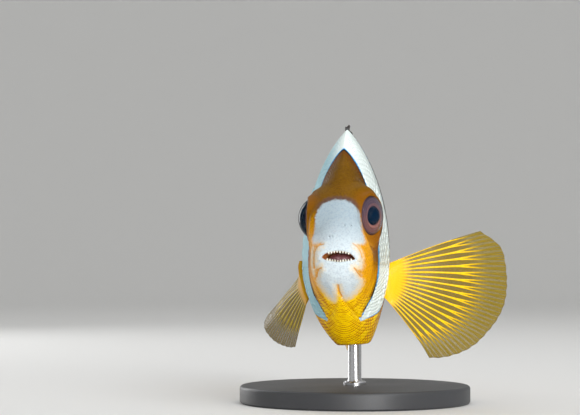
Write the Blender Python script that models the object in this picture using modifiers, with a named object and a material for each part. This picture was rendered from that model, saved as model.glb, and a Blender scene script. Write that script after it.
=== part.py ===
"""Clark's anemonefish, an adult, as a life-size display model on a plain stand.

The fish is shaped straight first: x is to its left, y runs back from its lips, z rises from the mouth line.
Each finished piece is then bent round to its swimming curve and set above the middle of the stand.
Sizes below are in millimetres, and MM turns them into Blender's metres.
"""

import math

import bmesh
import bpy
import numpy as np
from mathutils import Matrix, Vector

MM = 0.001
GAP = 0.3

# The body's outline from the side and from above: (distance behind the lips, height or half width).
BODY_LENGTH = 92.0
BACK_LINE = (
    (0, 2.6), (2.5, 5.9), (8, 12.6), (16, 20.8), (26, 27.2),
    (36, 28.2), (50, 26.9), (66, 19.8), (84, 9.9), (92, 10.1),
)
BELLY_LINE = (
    (0, -3.0), (2.5, -5.6), (8, -9.7), (16, -14.3), (25, -19.0), (34, -22.3),
    (46, -22.4), (58, -18.4), (72, -10.4), (84, -4.7), (92, -4.9),
)
# The breast and belly are flat underneath, at this height where it is above the belly line.
FLAT_LINE = ((0, -26), (18, -22), (26, -19.3), (33, -19.5), (36, -18.7), (48, -18.9), (56, -22), (92, -26))
FLAT_EDGE = 0.5
HALF_WIDTH = (
    (0, 3.6), (2.5, 5.0), (8, 6.4), (17, 7.4), (22, 8.4), (27, 9.3),
    (37, 9.1), (50, 8.6), (66, 6.0), (84, 2.7), (92, 1.9),
)
WIDEST_HEIGHT = ((0, 0), (16, -2.0), (28, -2.0), (50, 3.0), (92, 2.6))
# How full each section is: shares of its height or half width at which its four curves are pulled.
SHOULDER = ((0, 0.55), (9, 0.70), (26, 0.69), (40, 0.66), (60, 0.56), (92, 0.55))
RIDGE = ((0, 0.55), (9, 0.45), (18, 0.12), (26, 0.03), (40, 0.04), (70, 0.2), (92, 0.5))
FLANK = ((0, 0.55), (24, 0.48), (34, 0.35), (50, 0.4), (92, 0.55))
KEEL = ((0, 0.55), (14, 0.42), (34, 0.45), (60, 0.32), (92, 0.5))
SNOUT_ROUNDING = 1.6
RINGS, AROUND = 31, 32

# The swimming curve: the head is straight, and the rest bends to the fish's right.
BEND_START = 30.0
BEND_RADIUS = 320.0
# The breast leans to the fish's left: degrees, and the stations and heights over which the lean changes.
BREAST_LEAN = 4.0
LEAN_ALONG = ((24, 0), (34, 1), (44, 1), (62, 0))
LEAN_BELOW = ((-19, 1), (-4, 0))

# Dividing lines, as (distance behind the lips, height).
GILL_EDGE = (
    (24.0, 34.0), (25.4, 20.0), (27.0, 9.0), (27.4, 1.0),
    (26.2, -6.5), (23.2, -12.5), (19.5, -17.0), (16.5, -24.0),
)
GILL_EDGE_STEPS = 30
CHEEK_EDGE = ((19.4, 9.2), (17.2, 3.0), (16.6, -3.0), (17.8, -8.5), (20.6, -12.2))
COVER_STEPS = 13
# The dividing blocks reach this far: half width, foot, top, ahead of the lips and behind the tail's root.
BLOCK_REACH = (14.0, -24.0, 34.0)
BLOCK_AHEAD, BLOCK_BEHIND = 4.0, 6.0
GILL_COVER_TOP = 9.2
GILL_COVER_FOOT = -12.2
GILL_COVER_INNER = 5.4
STALK_START = 77.0

# Mouth, jaw and eyes.
JAW_HINGE = 8.6
JAW_HALF_WIDTH = 5.0
JAW_REAR = ((9.6, -3.5), (10.8, -8.0), (11.2, -12.0))
MOUTH_CAVITY = (3.6, 4.6, 0.9)
MOUTH_BACK = 1.0
TONGUE = (1.8, 1.7, 0.4)
TONGUE_CENTRE = (0.3, 2.7, -0.1)
# Each eye is a lens whose rim has a centre, (out, back, up), and a turn towards the front, in degrees.
# Both eyes are rolled the same way, so the left one looks ahead and the right one aside.
EYE_RIM = {"left": (6.3, 12.2, 8.6), "right": (7.2, 12.9, 8.0)}
EYE_TURN = {"left": 29.0, "right": 0.0}
EYE_RADIUS = 4.1
EYE_DEPTH = 2.8
EYE_SUNK = 0.9
SOCKET_RIM = 0.4
SOCKET_REACH = 8.0
SOCKET_FADE = 4.6

# Fins. Each fan has its rays counted, and a membrane notch between two rays.
FIN_THICKNESS = 0.6
FIN_STEPS = 4
NOTCH = 0.035
FIN_CLEAR = GAP + 0.15
SPINES = 10
DORSAL_START, DORSAL_SOFT_START, DORSAL_END = 31.0, 60.0, 81.0
SPINE_HEIGHTS = ((0, 1.6), (0.15, 2.6), (0.4, 4.2), (0.8, 6.0), (1, 6.2))
SOFT_DORSAL_HEIGHTS = ((0, 7.4), (0.3, 11.6), (0.6, 13.6), (0.85, 11.0), (1, 6.4))
SOFT_DORSAL_RAYS = 15
ANAL_START, ANAL_END = 59.0, 78.5
ANAL_HEIGHTS = ((0, 5.5), (0.25, 9.0), (0.6, 11.4), (0.85, 9.8), (1, 5.6))
ANAL_RAYS = 14
# How far back the rays of a median fin point, in degrees from upright: at its front, and the change to its end.
# The spines are folded down at the front.
SPINE_RAKE, SOFT_DORSAL_RAKE, ANAL_RAKE = (78, -22), (54, 14), (46, 20)
# A median fin's ripple to the side, and its rays' bow forward and out, as shares of their height.
RIPPLE = 0.25
RIPPLE_TURNS = 1.4
RAY_BOW = (0.04, 0.03)
CAUDAL_RAYS = 15
CAUDAL_LENGTH = 22.0
CAUDAL_FORK = 2.6
CAUDAL_SPREAD = 15.0
CAUDAL_ROUNDING = 0.42
CAUDAL_FLARE = 1.2
PECTORAL_RAYS = 19
PECTORAL_BACK = 25.6
PECTORAL_TOP, PECTORAL_FOOT = -1.2, -9.6
PECTORAL_ROOT_BACK = (3.6, -1.2)
# A pectoral ray's rise and sweep back, in degrees, from the fin's top to its foot.
PECTORAL_RISE = {"left": ((0, 19), (1, -58)), "right": ((0, -20), (0.3, -16), (0.7, -27), (1, -38))}
PECTORAL_SWEEP = {"left": ((0, 14), (1, 20)), "right": ((0, 92), (0.15, 87), (0.3, 76), (0.6, 63), (1, 68))}
PECTORAL_BOW = {"left": (0.5, -1.0, 0.5), "right": (-0.2, 0.0, 0.7)}
PECTORAL_LENGTHS = ((0, 21.0), (0.15, 25.5), (0.4, 26.5), (0.7, 23.5), (0.9, 19.0), (1, 16.0))
PELVIC_RAYS = 6
PELVIC_BACK = 35.5
# The turns on the body's section beside which a pelvic fin's outer and inner rays start, and where they end.
PELVIC_ROOT_TURNS = ((0, -0.64), (1, -0.78))
PELVIC_TIP_TURNS = ((0, -0.62), (1, -0.84))
PELVIC_LENGTHS = ((0, 15.0), (0.3, 20.0), (0.7, 17.0), (1, 12.0))
PELVIC_BOW = 0.36
PELVIC_CLEAR = FIN_CLEAR + 0.16
PECTORAL_CLEAR = FIN_CLEAR + 0.2

# The stand: a round base and one rod into the belly.
BASE_RADIUS = 26.0
BASE_HEIGHT = 4.0
BASE_EDGE = 0.7
BASE_SIDES = 52
ROD_RADIUS = 1.5
ROD_BACK = 44.0
ROD_IN_BASE = 2.6
ROD_IN_BELLY = 3.5
MOUTH_ABOVE_BASE = 29.0

FISH_ORANGE = (0.62, 0.26, 0.02)
FISH_BLACK = (0.02, 0.017, 0.02)
FISH_YELLOW = (0.85, 0.52, 0.02)
FISH_WHITE = (0.72, 0.79, 0.82)


def smooth_through(points):
    """A function whose curve passes through the points and turns only where they do."""
    at, value = np.array(points, float).T
    step = np.diff(at)
    rise = np.diff(value) / step
    slope = np.zeros(len(at))
    slope[0], slope[-1] = rise[0], rise[-1]
    for i in range(1, len(at) - 1):
        if rise[i - 1] * rise[i] > 0:
            before, after = 2 * step[i] + step[i - 1], step[i] + 2 * step[i - 1]
            slope[i] = (before + after) / (before / rise[i - 1] + after / rise[i])

    def curve(x):
        x = float(np.clip(x, at[0], at[-1]))
        i = int(np.clip(np.searchsorted(at, x) - 1, 0, len(step) - 1))
        t = (x - at[i]) / step[i]
        start = value[i] * (1 + 2 * t) + slope[i] * step[i] * t
        end = value[i + 1] * (3 - 2 * t) - slope[i + 1] * step[i] * (1 - t)
        return float(start * (1 - t) ** 2 + end * t * t)

    return curve


back_line, belly_line = smooth_through(BACK_LINE), smooth_through(BELLY_LINE)
flat_line = smooth_through(FLAT_LINE)
half_width, widest_height = smooth_through(HALF_WIDTH), smooth_through(WIDEST_HEIGHT)
shoulder, ridge = smooth_through(SHOULDER), smooth_through(RIDGE)
flank, keel = smooth_through(FLANK), smooth_through(KEEL)
lean_along, lean_below = smooth_through(LEAN_ALONG), smooth_through(LEAN_BELOW)


def bezier(a, b, c, d, t):
    return a * (1 - t) ** 3 + 3 * b * t * (1 - t) ** 2 + 3 * c * t * t * (1 - t) + d * t**3


def section_point(along, turn):
    """(half width, height) on the left side, with turn from -1 at the belly line to 1 at the back line."""
    blunt = math.sqrt(max(0.0, 1 - max(0.0, 1 - along / SNOUT_ROUNDING) ** 2))
    wide, middle = half_width(along) * blunt, widest_height(along)
    if turn >= 0:
        edge, side, end, t = back_line(along), shoulder(along), ridge(along), turn
    else:
        edge, side, end, t = belly_line(along), flank(along), keel(along), -turn
    rise = edge * blunt - middle
    height, flat = middle + rise * bezier(0.0, side, 1.0, 1.0, t), flat_line(along)
    if turn < 0:
        height = (height + flat + math.hypot(height - flat, FLAT_EDGE)) / 2
    return bezier(wide, wide, wide * end, 0.0, t), height


def underside(along):
    """The height of the body's lowest line."""
    return section_point(along, -1.0)[1]


def beside_eye(x, along, height):
    """The x of a point of the skin, drawn to the level of the eye's rim where it lies round an eye."""
    side = "left" if x > 0 else "right"
    out, back, up = EYE_RIM[side]
    turn = math.radians(EYE_TURN[side])
    level = out + (along - back) * math.tan(turn)
    distance = math.hypot((along - back) / math.cos(turn), height - up)
    fade = min(1.0, max(0.0, (distance - EYE_RADIUS) / SOCKET_FADE))
    pull = (1 - fade) ** 2 * (1 + 2 * fade) * min(1.0, abs(x) / (0.6 * out)) ** 2
    return x + (math.copysign(level, x) - x) * pull


def beside_skin(along, turn, clear):
    """(x, height) beside the body's left side, square to its section."""
    at, above = (Vector(section_point(along, turn + step)) for step in (0.0, 0.01))
    edge = (above - at).normalized()
    return at.x + edge.y * clear, at.y - edge.x * clear


def skin_side(along, height):
    """The body's half width at a height."""
    turns = np.linspace(-1, 1, 81)
    points = np.array([section_point(along, turn) for turn in turns])
    return float(np.interp(height, points[:, 1], points[:, 0]))


def bent(x, along):
    """Where a straight fish's (x, along) comes in plan on the swimming curve."""
    turn = max(0.0, (along - BEND_START) / BEND_RADIUS)
    return (
        x * math.cos(turn) - BEND_RADIUS * (1 - math.cos(turn)),
        x * math.sin(turn) + BEND_RADIUS * math.sin(turn) + min(along, BEND_START),
    )


def posed(point):
    """A point of the straight fish, in metres, where it is on the display model."""
    x, along, height = point / MM
    lean = math.radians(BREAST_LEAN) * lean_along(along) * lean_below(height)
    leaning = x * math.cos(lean) - height * math.sin(lean)
    raised = x * math.sin(lean) + height * math.cos(lean)
    side, back = bent(leaning, along)
    rod_side, rod_back = bent(-underside(ROD_BACK) * math.sin(math.radians(BREAST_LEAN)), ROD_BACK)
    return Vector((side - rod_side, back - rod_back, raised + BASE_HEIGHT + MOUTH_ABOVE_BASE)) * MM


def collection(name):
    made = bpy.data.collections.new(name)
    bpy.context.scene.collection.children.link(made)
    return made


def finish(name, colour, roughness, metallic=0.0):
    material = bpy.data.materials.new(name)
    material.use_nodes = True
    shader = material.node_tree.nodes["Principled BSDF"]
    shader.inputs["Base Color"].default_value = (*colour, 1.0)
    shader.inputs["Roughness"].default_value = roughness
    shader.inputs["Metallic"].default_value = metallic
    return material


def add(name, bm, where, material=None, helper=False):
    """An object in a collection from a bmesh. A helper is a cutter, which isn't part of the model."""
    bmesh.ops.recalc_face_normals(bm, faces=bm.faces)
    mesh = bpy.data.meshes.new(name)
    bm.to_mesh(mesh)
    bm.free()
    made = bpy.data.objects.new(name, mesh)
    where.objects.link(made)
    made.hide_render = helper
    if helper:
        made.display_type = "WIRE"
    if material:
        mesh.materials.append(material)
    return made


def body_bmesh():
    """The whole straight body without fins, as rings lofted from the lips to the tail's root."""
    bm = bmesh.new()
    share = np.linspace(0, 1, RINGS + 1)[1:]
    stations = BODY_LENGTH * (0.35 * share + 0.65 * share**2.2)
    half = AROUND // 2
    turns = [-1 + 2 * i / half for i in range(half + 1)]
    loops = []
    for along in stations:
        left = [section_point(along, turn) for turn in turns]
        outline = left + [(-x, z) for x, z in reversed(left[1:-1])]
        loops.append([bm.verts.new(Vector((beside_eye(x, along, z), along, z)) * MM) for x, z in outline])
    for front, rear in zip(loops, loops[1:]):
        for i, vertex in enumerate(front):
            after = (i + 1) % len(front)
            bm.faces.new((vertex, rear[i], rear[after], front[after]))
    lips = bm.verts.new(Vector((0, 0, (loops[0][0].co.z + loops[0][half].co.z) / 2)))
    for i, vertex in enumerate(loops[0]):
        bm.faces.new((lips, vertex, loops[0][(i + 1) % len(loops[0])]))
    bm.faces.new(loops[-1])
    return bm


def prism(name, outline, low, high, cutters):
    """A block whose side view is the outline of (along, height) points, from x = low to x = high."""
    bm = bmesh.new()
    face = bm.faces.new([bm.verts.new(Vector((low, along, height)) * MM) for along, height in outline])
    grown = bmesh.ops.extrude_face_region(bm, geom=[face])["geom"]
    moved = [item for item in grown if isinstance(item, bmesh.types.BMVert)]
    bmesh.ops.translate(bm, verts=moved, vec=(MM * (high - low), 0, 0))
    return add(name, bm, cutters, helper=True)


def ellipsoid_bmesh(radii, centre, turn=0.0, segments=20, rings=12):
    """An ellipsoid with its poles left and right, turned about the upright axis."""
    bm = bmesh.new()
    bmesh.ops.create_uvsphere(bm, u_segments=segments, v_segments=rings, radius=1.0)
    wide, long, tall = (radius * MM for radius in radii)
    bmesh.ops.rotate(bm, verts=bm.verts, matrix=Matrix.Rotation(math.radians(90), 3, "Y"))
    bmesh.ops.scale(bm, verts=bm.verts, vec=(wide, long, tall))
    bmesh.ops.rotate(bm, verts=bm.verts, matrix=Matrix.Rotation(math.radians(turn), 3, "Z"))
    bmesh.ops.translate(bm, verts=bm.verts, vec=Vector(centre) * MM)
    return bm


def set_in_pose(made):
    """Uses up an object's modifiers and bends its mesh to the pose."""
    graph = bpy.context.evaluated_depsgraph_get()
    mesh = bpy.data.meshes.new_from_object(made.evaluated_get(graph))
    made.modifiers.clear()
    made.data = mesh
    for vertex in mesh.vertices:
        vertex.co = posed(vertex.co)
    mesh.shade_smooth()
    mesh.set_sharp_from_angle(angle=math.radians(35))
    return made


def carve(name, bm, fish, material, keep=(), drop=()):
    """A piece that keeps what lies in the keep blocks and loses what lies in the drop blocks."""
    made = add(name, bm, fish, material)
    for block, operation in [(b, "INTERSECT") for b in keep] + [(b, "DIFFERENCE") for b in drop]:
        cut = made.modifiers.new(block.name, "BOOLEAN")
        cut.operation = operation
        cut.object = block
    return set_in_pose(made)


def shifted(line, distance):
    return [(along + distance, height) for along, height in line]


def eye_socket(side, centre, turn, cutters):
    """The cutter of an eye's bed, drawn out in front of the eye so that no skin hides it."""
    sign = 1 if side == "left" else -1
    bm = bmesh.new()
    bmesh.ops.create_uvsphere(bm, u_segments=20, v_segments=12, radius=1.0)
    for vertex in bm.verts:
        radial = math.hypot(vertex.co.x, vertex.co.y)
        radius, height = radial * (EYE_RADIUS + GAP), vertex.co.z * (EYE_DEPTH + GAP)
        if vertex.co.z > 0:
            radius = (radial > 0.01) * (EYE_RADIUS + GAP + SOCKET_RIM * vertex.co.z)
            height = vertex.co.z * SOCKET_REACH
        scale = radius / max(radial, 0.01)
        vertex.co = Vector((vertex.co.x * scale, vertex.co.y * scale, height)) * MM
    bmesh.ops.rotate(bm, verts=bm.verts, matrix=Matrix.Rotation(math.radians(90 * sign), 3, "Y"))
    bmesh.ops.rotate(bm, verts=bm.verts, matrix=Matrix.Rotation(math.radians(turn), 3, "Z"))
    bmesh.ops.translate(bm, verts=bm.verts, vec=Vector(centre) * MM)
    return add(f"eye_socket_{side}", bm, cutters, helper=True)


def build_body(fish, cutters, skin, eye_finish, mouth_finish):
    """Head, lower jaw, tongue, gill covers, eyes, trunk and tail stalk."""
    wide, low, high = BLOCK_REACH
    near, far = -BLOCK_AHEAD, BODY_LENGTH + BLOCK_BEHIND
    gill_front = smooth_through([(-h, a) for a, h in CHEEK_EDGE])
    gill_rows = np.linspace(GILL_COVER_TOP, GILL_COVER_FOOT, COVER_STEPS)
    gill_rear = smooth_through([(-h, a) for a, h in GILL_EDGE])
    edge_rows = np.linspace(GILL_EDGE[0][1], GILL_EDGE[-1][1], GILL_EDGE_STEPS)
    gill_edge = [(gill_rear(-h), h) for h in edge_rows]

    head_block = prism("head_block", [(near, low), (near, high)] + gill_edge, -wide, wide, cutters)
    trunk_block = prism(
        "trunk_block",
        shifted(gill_edge, GAP) + [(STALK_START, low), (STALK_START, high)],
        -wide, wide, cutters,
    )
    stalk_block = prism(
        "stalk_block",
        [(STALK_START + GAP, low), (STALK_START + GAP, high), (far, high), (far, low)],
        -wide, wide, cutters,
    )
    jaw = [(near, low), (near, -GAP / 2), (JAW_HINGE, -GAP / 2), *JAW_REAR, (JAW_REAR[-1][0], low)]
    jaw_room = [(near, low), (near, GAP / 2), *shifted([(JAW_HINGE, GAP / 2), *jaw[3:]], GAP)]
    jaw_block = prism("jaw_block", jaw, -JAW_HALF_WIDTH, JAW_HALF_WIDTH, cutters)
    jaw_gap = prism("jaw_gap", jaw_room, -JAW_HALF_WIDTH - GAP, JAW_HALF_WIDTH + GAP, cutters)
    cavity = add("mouth_cavity", ellipsoid_bmesh(MOUTH_CAVITY, (0, MOUTH_BACK, 0)), cutters, helper=True)

    covers, cover_rooms, sockets = {}, [], []
    for side, sign in (("left", 1), ("right", -1)):
        front = [(gill_front(-h), h) for h in gill_rows]
        rear = [(gill_rear(-h), h) for h in gill_rows]
        covers[side] = prism(
            f"gill_block_{side}", front + rear[::-1], sign * GILL_COVER_INNER, sign * wide, cutters,
        )
        room = [(a - GAP, h) for a, h in front]
        room[0] = (room[0][0], GILL_COVER_TOP + GAP)
        room[-1] = (room[-1][0], GILL_COVER_FOOT - GAP)
        behind = [(far, GILL_COVER_FOOT - GAP), (far, GILL_COVER_TOP + GAP)]
        inner = sign * (GILL_COVER_INNER - GAP)
        cover_rooms.append(prism(f"gill_room_{side}", room + behind, inner, sign * wide, cutters))
        turn = -sign * EYE_TURN[side]
        axis = Matrix.Rotation(math.radians(turn), 3, "Z") @ Vector((sign, 0, 0))
        out, back, up = EYE_RIM[side]
        centre = Vector((sign * out, back, up)) - EYE_SUNK * axis
        sockets.append(eye_socket(side, centre, turn, cutters))
        lens = ellipsoid_bmesh((EYE_DEPTH, EYE_RADIUS, EYE_RADIUS), centre, turn)
        eye = add(f"eye_{side}", lens, fish, eye_finish)
        set_in_pose(eye)

    carve("head", body_bmesh(), fish, skin, [head_block], [jaw_gap, cavity, *cover_rooms, *sockets])
    carve("lower_jaw", body_bmesh(), fish, skin, [jaw_block], [cavity])
    for side, block in covers.items():
        carve(f"gill_cover_{side}", body_bmesh(), fish, skin, [block])
    carve("trunk", body_bmesh(), fish, skin, [trunk_block])
    carve("tail_stalk", body_bmesh(), fish, skin, [stalk_block])
    tongue = add("tongue", ellipsoid_bmesh(TONGUE, TONGUE_CENTRE, segments=12, rings=6), fish, mouth_finish)
    set_in_pose(tongue)


def fan_fin(name, rays, root_at, tip_at, bow_at, fish, material, thickness=FIN_THICKNESS):
    """A fin as one curved sheet, with a column for each ray and one for each membrane between two rays.

    root_at, tip_at and bow_at give a ray's root, its tip and its middle's bow, for a share from 0 to 1.
    """
    columns = 2 * rays - 1
    bm = bmesh.new()
    bmesh.ops.create_grid(bm, x_segments=columns - 1, y_segments=FIN_STEPS, size=0.5)
    for vertex in bm.verts:
        share, out = vertex.co.x + 0.5, vertex.co.y + 0.5
        column = round(share * (columns - 1))
        reach = 1 - NOTCH * (column % 2)
        root, tip, bow = root_at(share), tip_at(share), bow_at(share)
        along = out * reach
        vertex.co = (root.lerp(tip, along) + bow * (4 * along * (1 - along))) * MM
    made = add(name, bm, fish, material)
    shell = made.modifiers.new("thickness", "SOLIDIFY")
    shell.thickness = thickness * MM
    shell.offset = 0.0
    shell.use_even_offset = True
    return set_in_pose(made)


def median_fin(name, rays, start, end, heights, edge_line, upright, rake, fish, material):
    """A fin on the back or the belly line."""
    height = smooth_through(heights)

    def root_at(share):
        along = start + (end - start) * share
        return Vector((0, along, edge_line(along) + upright * FIN_CLEAR))

    def tip_at(share):
        tilt = math.radians(rake[0] + rake[1] * share)
        return root_at(share) + height(share) * Vector((0, math.sin(tilt), upright * math.cos(tilt)))

    def bow_at(share):
        forward, out = (bow * height(share) for bow in RAY_BOW)
        return Vector((RIPPLE * math.sin(share * math.tau * RIPPLE_TURNS), -forward, upright * out))

    return fan_fin(name, rays, root_at, tip_at, bow_at, fish, material)


def build_median_fins(fish, dark, yellow):
    """Both parts of the dorsal fin, the anal fin and the caudal fin."""
    median_fin(
        "fin_dorsal_spiny", SPINES, DORSAL_START, DORSAL_SOFT_START - 0.8, SPINE_HEIGHTS,
        back_line, 1, SPINE_RAKE, fish, dark,
    )
    median_fin(
        "fin_dorsal_soft", SOFT_DORSAL_RAYS, DORSAL_SOFT_START, DORSAL_END, SOFT_DORSAL_HEIGHTS,
        back_line, 1, SOFT_DORSAL_RAKE, fish, dark,
    )
    median_fin(
        "fin_anal", ANAL_RAYS, ANAL_START, ANAL_END, ANAL_HEIGHTS,
        underside, -1, ANAL_RAKE, fish, yellow,
    )

    top, foot = back_line(BODY_LENGTH) - 0.5, underside(BODY_LENGTH) + 0.5
    middle = (top + foot) / 2

    def root_at(share):
        return Vector((0, BODY_LENGTH + GAP, top + (foot - top) * share))

    def tip_at(share):
        out = 1 - 2 * share
        length = CAUDAL_LENGTH - CAUDAL_FORK * math.cos(out * math.pi / 2) ** 1.5
        back = BODY_LENGTH + length * math.cos(out * CAUDAL_ROUNDING)
        return Vector((0, back, middle + CAUDAL_SPREAD * math.sin(out * math.pi * 0.46)))

    def bow_at(share):
        return Vector((RIPPLE * math.sin(share * math.tau * RIPPLE_TURNS), 0, CAUDAL_FLARE * (1 - 2 * share)))

    fan_fin("fin_caudal", CAUDAL_RAYS, root_at, tip_at, bow_at, fish, yellow)


def fan_direction(side, share):
    """The way a pectoral ray points, as (out, back, up). The left fin is spread, the right one swept back."""
    rise = math.radians(smooth_through(PECTORAL_RISE[side])(share))
    sweep = math.radians(smooth_through(PECTORAL_SWEEP[side])(share))
    return Vector((math.cos(rise) * math.cos(sweep), math.cos(rise) * math.sin(sweep), math.sin(rise)))


def build_paired_fins(fish, yellow):
    """Pectoral fins behind the gill covers, and pelvic fins at the corners of the breast."""
    pectoral_length, pelvic_length = smooth_through(PECTORAL_LENGTHS), smooth_through(PELVIC_LENGTHS)
    for side, sign in (("left", 1), ("right", -1)):

        def pectoral_root(share, sign=sign):
            height = PECTORAL_TOP + (PECTORAL_FOOT - PECTORAL_TOP) * share
            along = PECTORAL_BACK + PECTORAL_ROOT_BACK[0] + PECTORAL_ROOT_BACK[1] * share
            return Vector((sign * (skin_side(along, height) + PECTORAL_CLEAR), along, height))

        def pectoral_tip(share, side=side, sign=sign, root=pectoral_root):
            out, back, up = fan_direction(side, share) * pectoral_length(share)
            return root(share) + Vector((sign * out, back, up))

        def pectoral_bow(share, side=side, sign=sign):
            out, back, up = PECTORAL_BOW[side]
            return Vector((sign * out, back, up))

        name = f"fin_pectoral_{side}"
        fan_fin(name, PECTORAL_RAYS, pectoral_root, pectoral_tip, pectoral_bow, fish, yellow)

        def pelvic_point(share, back, turns, sign=sign):
            x, height = beside_skin(back, smooth_through(turns)(share), PELVIC_CLEAR)
            return Vector((sign * x, back, height))

        def pelvic_root(share, point=pelvic_point):
            return point(share, PELVIC_BACK, PELVIC_ROOT_TURNS)

        def pelvic_tip(share, point=pelvic_point):
            return point(share, PELVIC_BACK + pelvic_length(share), PELVIC_TIP_TURNS)

        def pelvic_bow(share, sign=sign):
            return Vector((sign * PELVIC_BOW, 0, -PELVIC_BOW))

        fan_fin(f"fin_pelvic_{side}", PELVIC_RAYS, pelvic_root, pelvic_tip, pelvic_bow, fish, yellow)


def upright_cylinder(radius, foot, head, segments=20):
    """A cylinder round the stand's axis, between two heights above the floor."""
    bm = bmesh.new()
    bmesh.ops.create_cone(
        bm, cap_ends=True, segments=segments, radius1=radius * MM, radius2=radius * MM, depth=(head - foot) * MM,
        matrix=Matrix.Translation((0, 0, (head + foot) / 2 * MM)),
    )
    return bm


def drill(made, bm, cutters):
    """Cuts a hole of a bmesh's shape."""
    hole = made.modifiers.new("hole", "BOOLEAN")
    hole.operation = "DIFFERENCE"
    hole.object = add(f"{made.name}_hole", bm, cutters, helper=True)


def build_stand(fish, cutters, base_finish, rod_finish):
    """A round base with a bevelled rim, and a rod that stands in it and in the belly."""
    foot = BASE_HEIGHT - ROD_IN_BASE
    head = BASE_HEIGHT + MOUTH_ABOVE_BASE + underside(ROD_BACK) + ROD_IN_BELLY
    room = upright_cylinder(ROD_RADIUS + GAP, foot - GAP, head + GAP)
    drill(bpy.data.objects["trunk"], room, cutters)

    base = upright_cylinder(BASE_RADIUS, 0, BASE_HEIGHT, segments=BASE_SIDES)
    base = add("stand_base", base, fish, base_finish)
    rim = base.modifiers.new("rim", "BEVEL")
    rim.width = BASE_EDGE * MM
    rim.segments = 2
    rim.limit_method = "ANGLE"
    drill(base, upright_cylinder(ROD_RADIUS + GAP, foot - GAP, BASE_HEIGHT + ROD_IN_BASE), cutters)
    add("stand_rod", upright_cylinder(ROD_RADIUS, foot, head), fish, rod_finish)


def main():
    for old in list(bpy.data.objects):
        bpy.data.objects.remove(old)
    fish, cutters = collection("anemonefish"), collection("cutters")
    skin = finish("skin", FISH_ORANGE, 0.42)
    dark = finish("dark_fin", FISH_BLACK, 0.45)
    yellow = finish("yellow_fin", FISH_YELLOW, 0.45)
    eye_finish = finish("eye", (0.1, 0.04, 0.035), 0.08)
    mouth_finish = finish("mouth", (0.3, 0.1, 0.09), 0.35)
    build_body(fish, cutters, skin, eye_finish, mouth_finish)
    build_median_fins(fish, dark, yellow)
    build_paired_fins(fish, yellow)
    build_stand(
        fish, cutters,
        finish("stand_base", (0.09, 0.09, 0.095), 0.5),
        finish("stand_rod", (0.62, 0.62, 0.64), 0.3, 1.0),
    )


main()
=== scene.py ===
"""Looks of the display model of Clark's anemonefish: its skin, scales, fins, eyes, mouth and stand.

The fish is shaped straight, in millimetres: x is to its left, y is the place behind its lips and z the
height above its mouth line. Each piece is then bent to the swimming curve and set above the stand, in metres.
"""

import logging
import math
from dataclasses import dataclass, field
from enum import Enum
from typing import Any, Callable, Optional, Sequence, Union

import bmesh
import bpy
import numpy as np
from mathutils import Matrix, Vector


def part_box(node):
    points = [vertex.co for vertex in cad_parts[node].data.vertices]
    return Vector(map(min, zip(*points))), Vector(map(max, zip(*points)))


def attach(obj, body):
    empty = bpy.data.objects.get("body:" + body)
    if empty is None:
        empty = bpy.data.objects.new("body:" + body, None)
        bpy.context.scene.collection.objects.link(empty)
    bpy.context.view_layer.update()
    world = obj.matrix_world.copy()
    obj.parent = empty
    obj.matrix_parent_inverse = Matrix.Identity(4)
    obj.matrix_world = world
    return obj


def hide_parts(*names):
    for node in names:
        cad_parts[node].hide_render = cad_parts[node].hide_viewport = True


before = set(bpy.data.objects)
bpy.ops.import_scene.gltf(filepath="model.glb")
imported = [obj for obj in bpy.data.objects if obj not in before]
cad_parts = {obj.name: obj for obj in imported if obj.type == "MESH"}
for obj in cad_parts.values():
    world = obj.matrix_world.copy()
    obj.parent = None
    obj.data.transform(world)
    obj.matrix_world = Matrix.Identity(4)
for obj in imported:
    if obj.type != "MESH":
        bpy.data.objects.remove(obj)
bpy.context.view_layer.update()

MM = 0.001
Array = np.ndarray
Shape = bmesh.types.BMesh
Piece = bpy.types.Object
Material = bpy.types.Material
Socket = bpy.types.NodeSocket
Node = bpy.types.Node
Line = tuple[tuple[float, float], ...]
Place = tuple[float, float, float]
Colour = tuple[float, float, float]
Span = tuple[float, float]
log = logging.getLogger("anemonefish")


class Side(Enum):
    """A side of the fish, with its sign on the x axis."""

    LEFT = 1
    RIGHT = -1

    @property
    def label(self) -> str:
        """The side's name as the CAD nodes have it."""
        return self.name.lower()


class Slot(Enum):
    """The record's material slots."""

    SKIN = "skin"
    DARK_FIN = "dark_fin"
    YELLOW_FIN = "yellow_fin"
    EYE = "eye"
    MOUTH = "mouth"
    STAND_BASE = "stand_base"
    STAND_ROD = "stand_rod"


class Look(Enum):
    """How a line on the head is drawn: as seen from ahead (x, height) or from the side (place, height)."""

    AHEAD = (0, 2)
    ASIDE = (1, 2)


# ---- Curves and distances ----


class Curve:
    """A smooth curve through (place, value) points that turns only where they do."""

    def __init__(self, points: Line) -> None:
        """Fits the slopes.

        Args:
            points: The (place, value) points, in order of place.
        """
        self.at, self.value = np.array(points, float).T
        step = np.diff(self.at)
        rise = np.diff(self.value) / step
        self.slope = np.zeros(len(self.at))
        self.slope[0], self.slope[-1] = rise[0], rise[-1]
        for i in range(1, len(self.at) - 1):
            if rise[i - 1] * rise[i] > 0:
                before, after = 2 * step[i] + step[i - 1], step[i] + 2 * step[i - 1]
                self.slope[i] = (before + after) / (before / rise[i - 1] + after / rise[i])

    def __call__(self, place: Any) -> Array:
        """The curve's values.

        Args:
            place: A place or an array of places.

        Returns:
            The value at each place.
        """
        x = np.clip(np.asarray(place, float), self.at[0], self.at[-1])
        i = np.clip(np.searchsorted(self.at, x) - 1, 0, len(self.at) - 2)
        step = self.at[i + 1] - self.at[i]
        t = (x - self.at[i]) / step
        start = self.value[i] * (1 + 2 * t) + self.slope[i] * step * t
        end = self.value[i + 1] * (3 - 2 * t) - self.slope[i + 1] * step * (1 - t)
        return start * (1 - t) ** 2 + end * t * t


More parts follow.
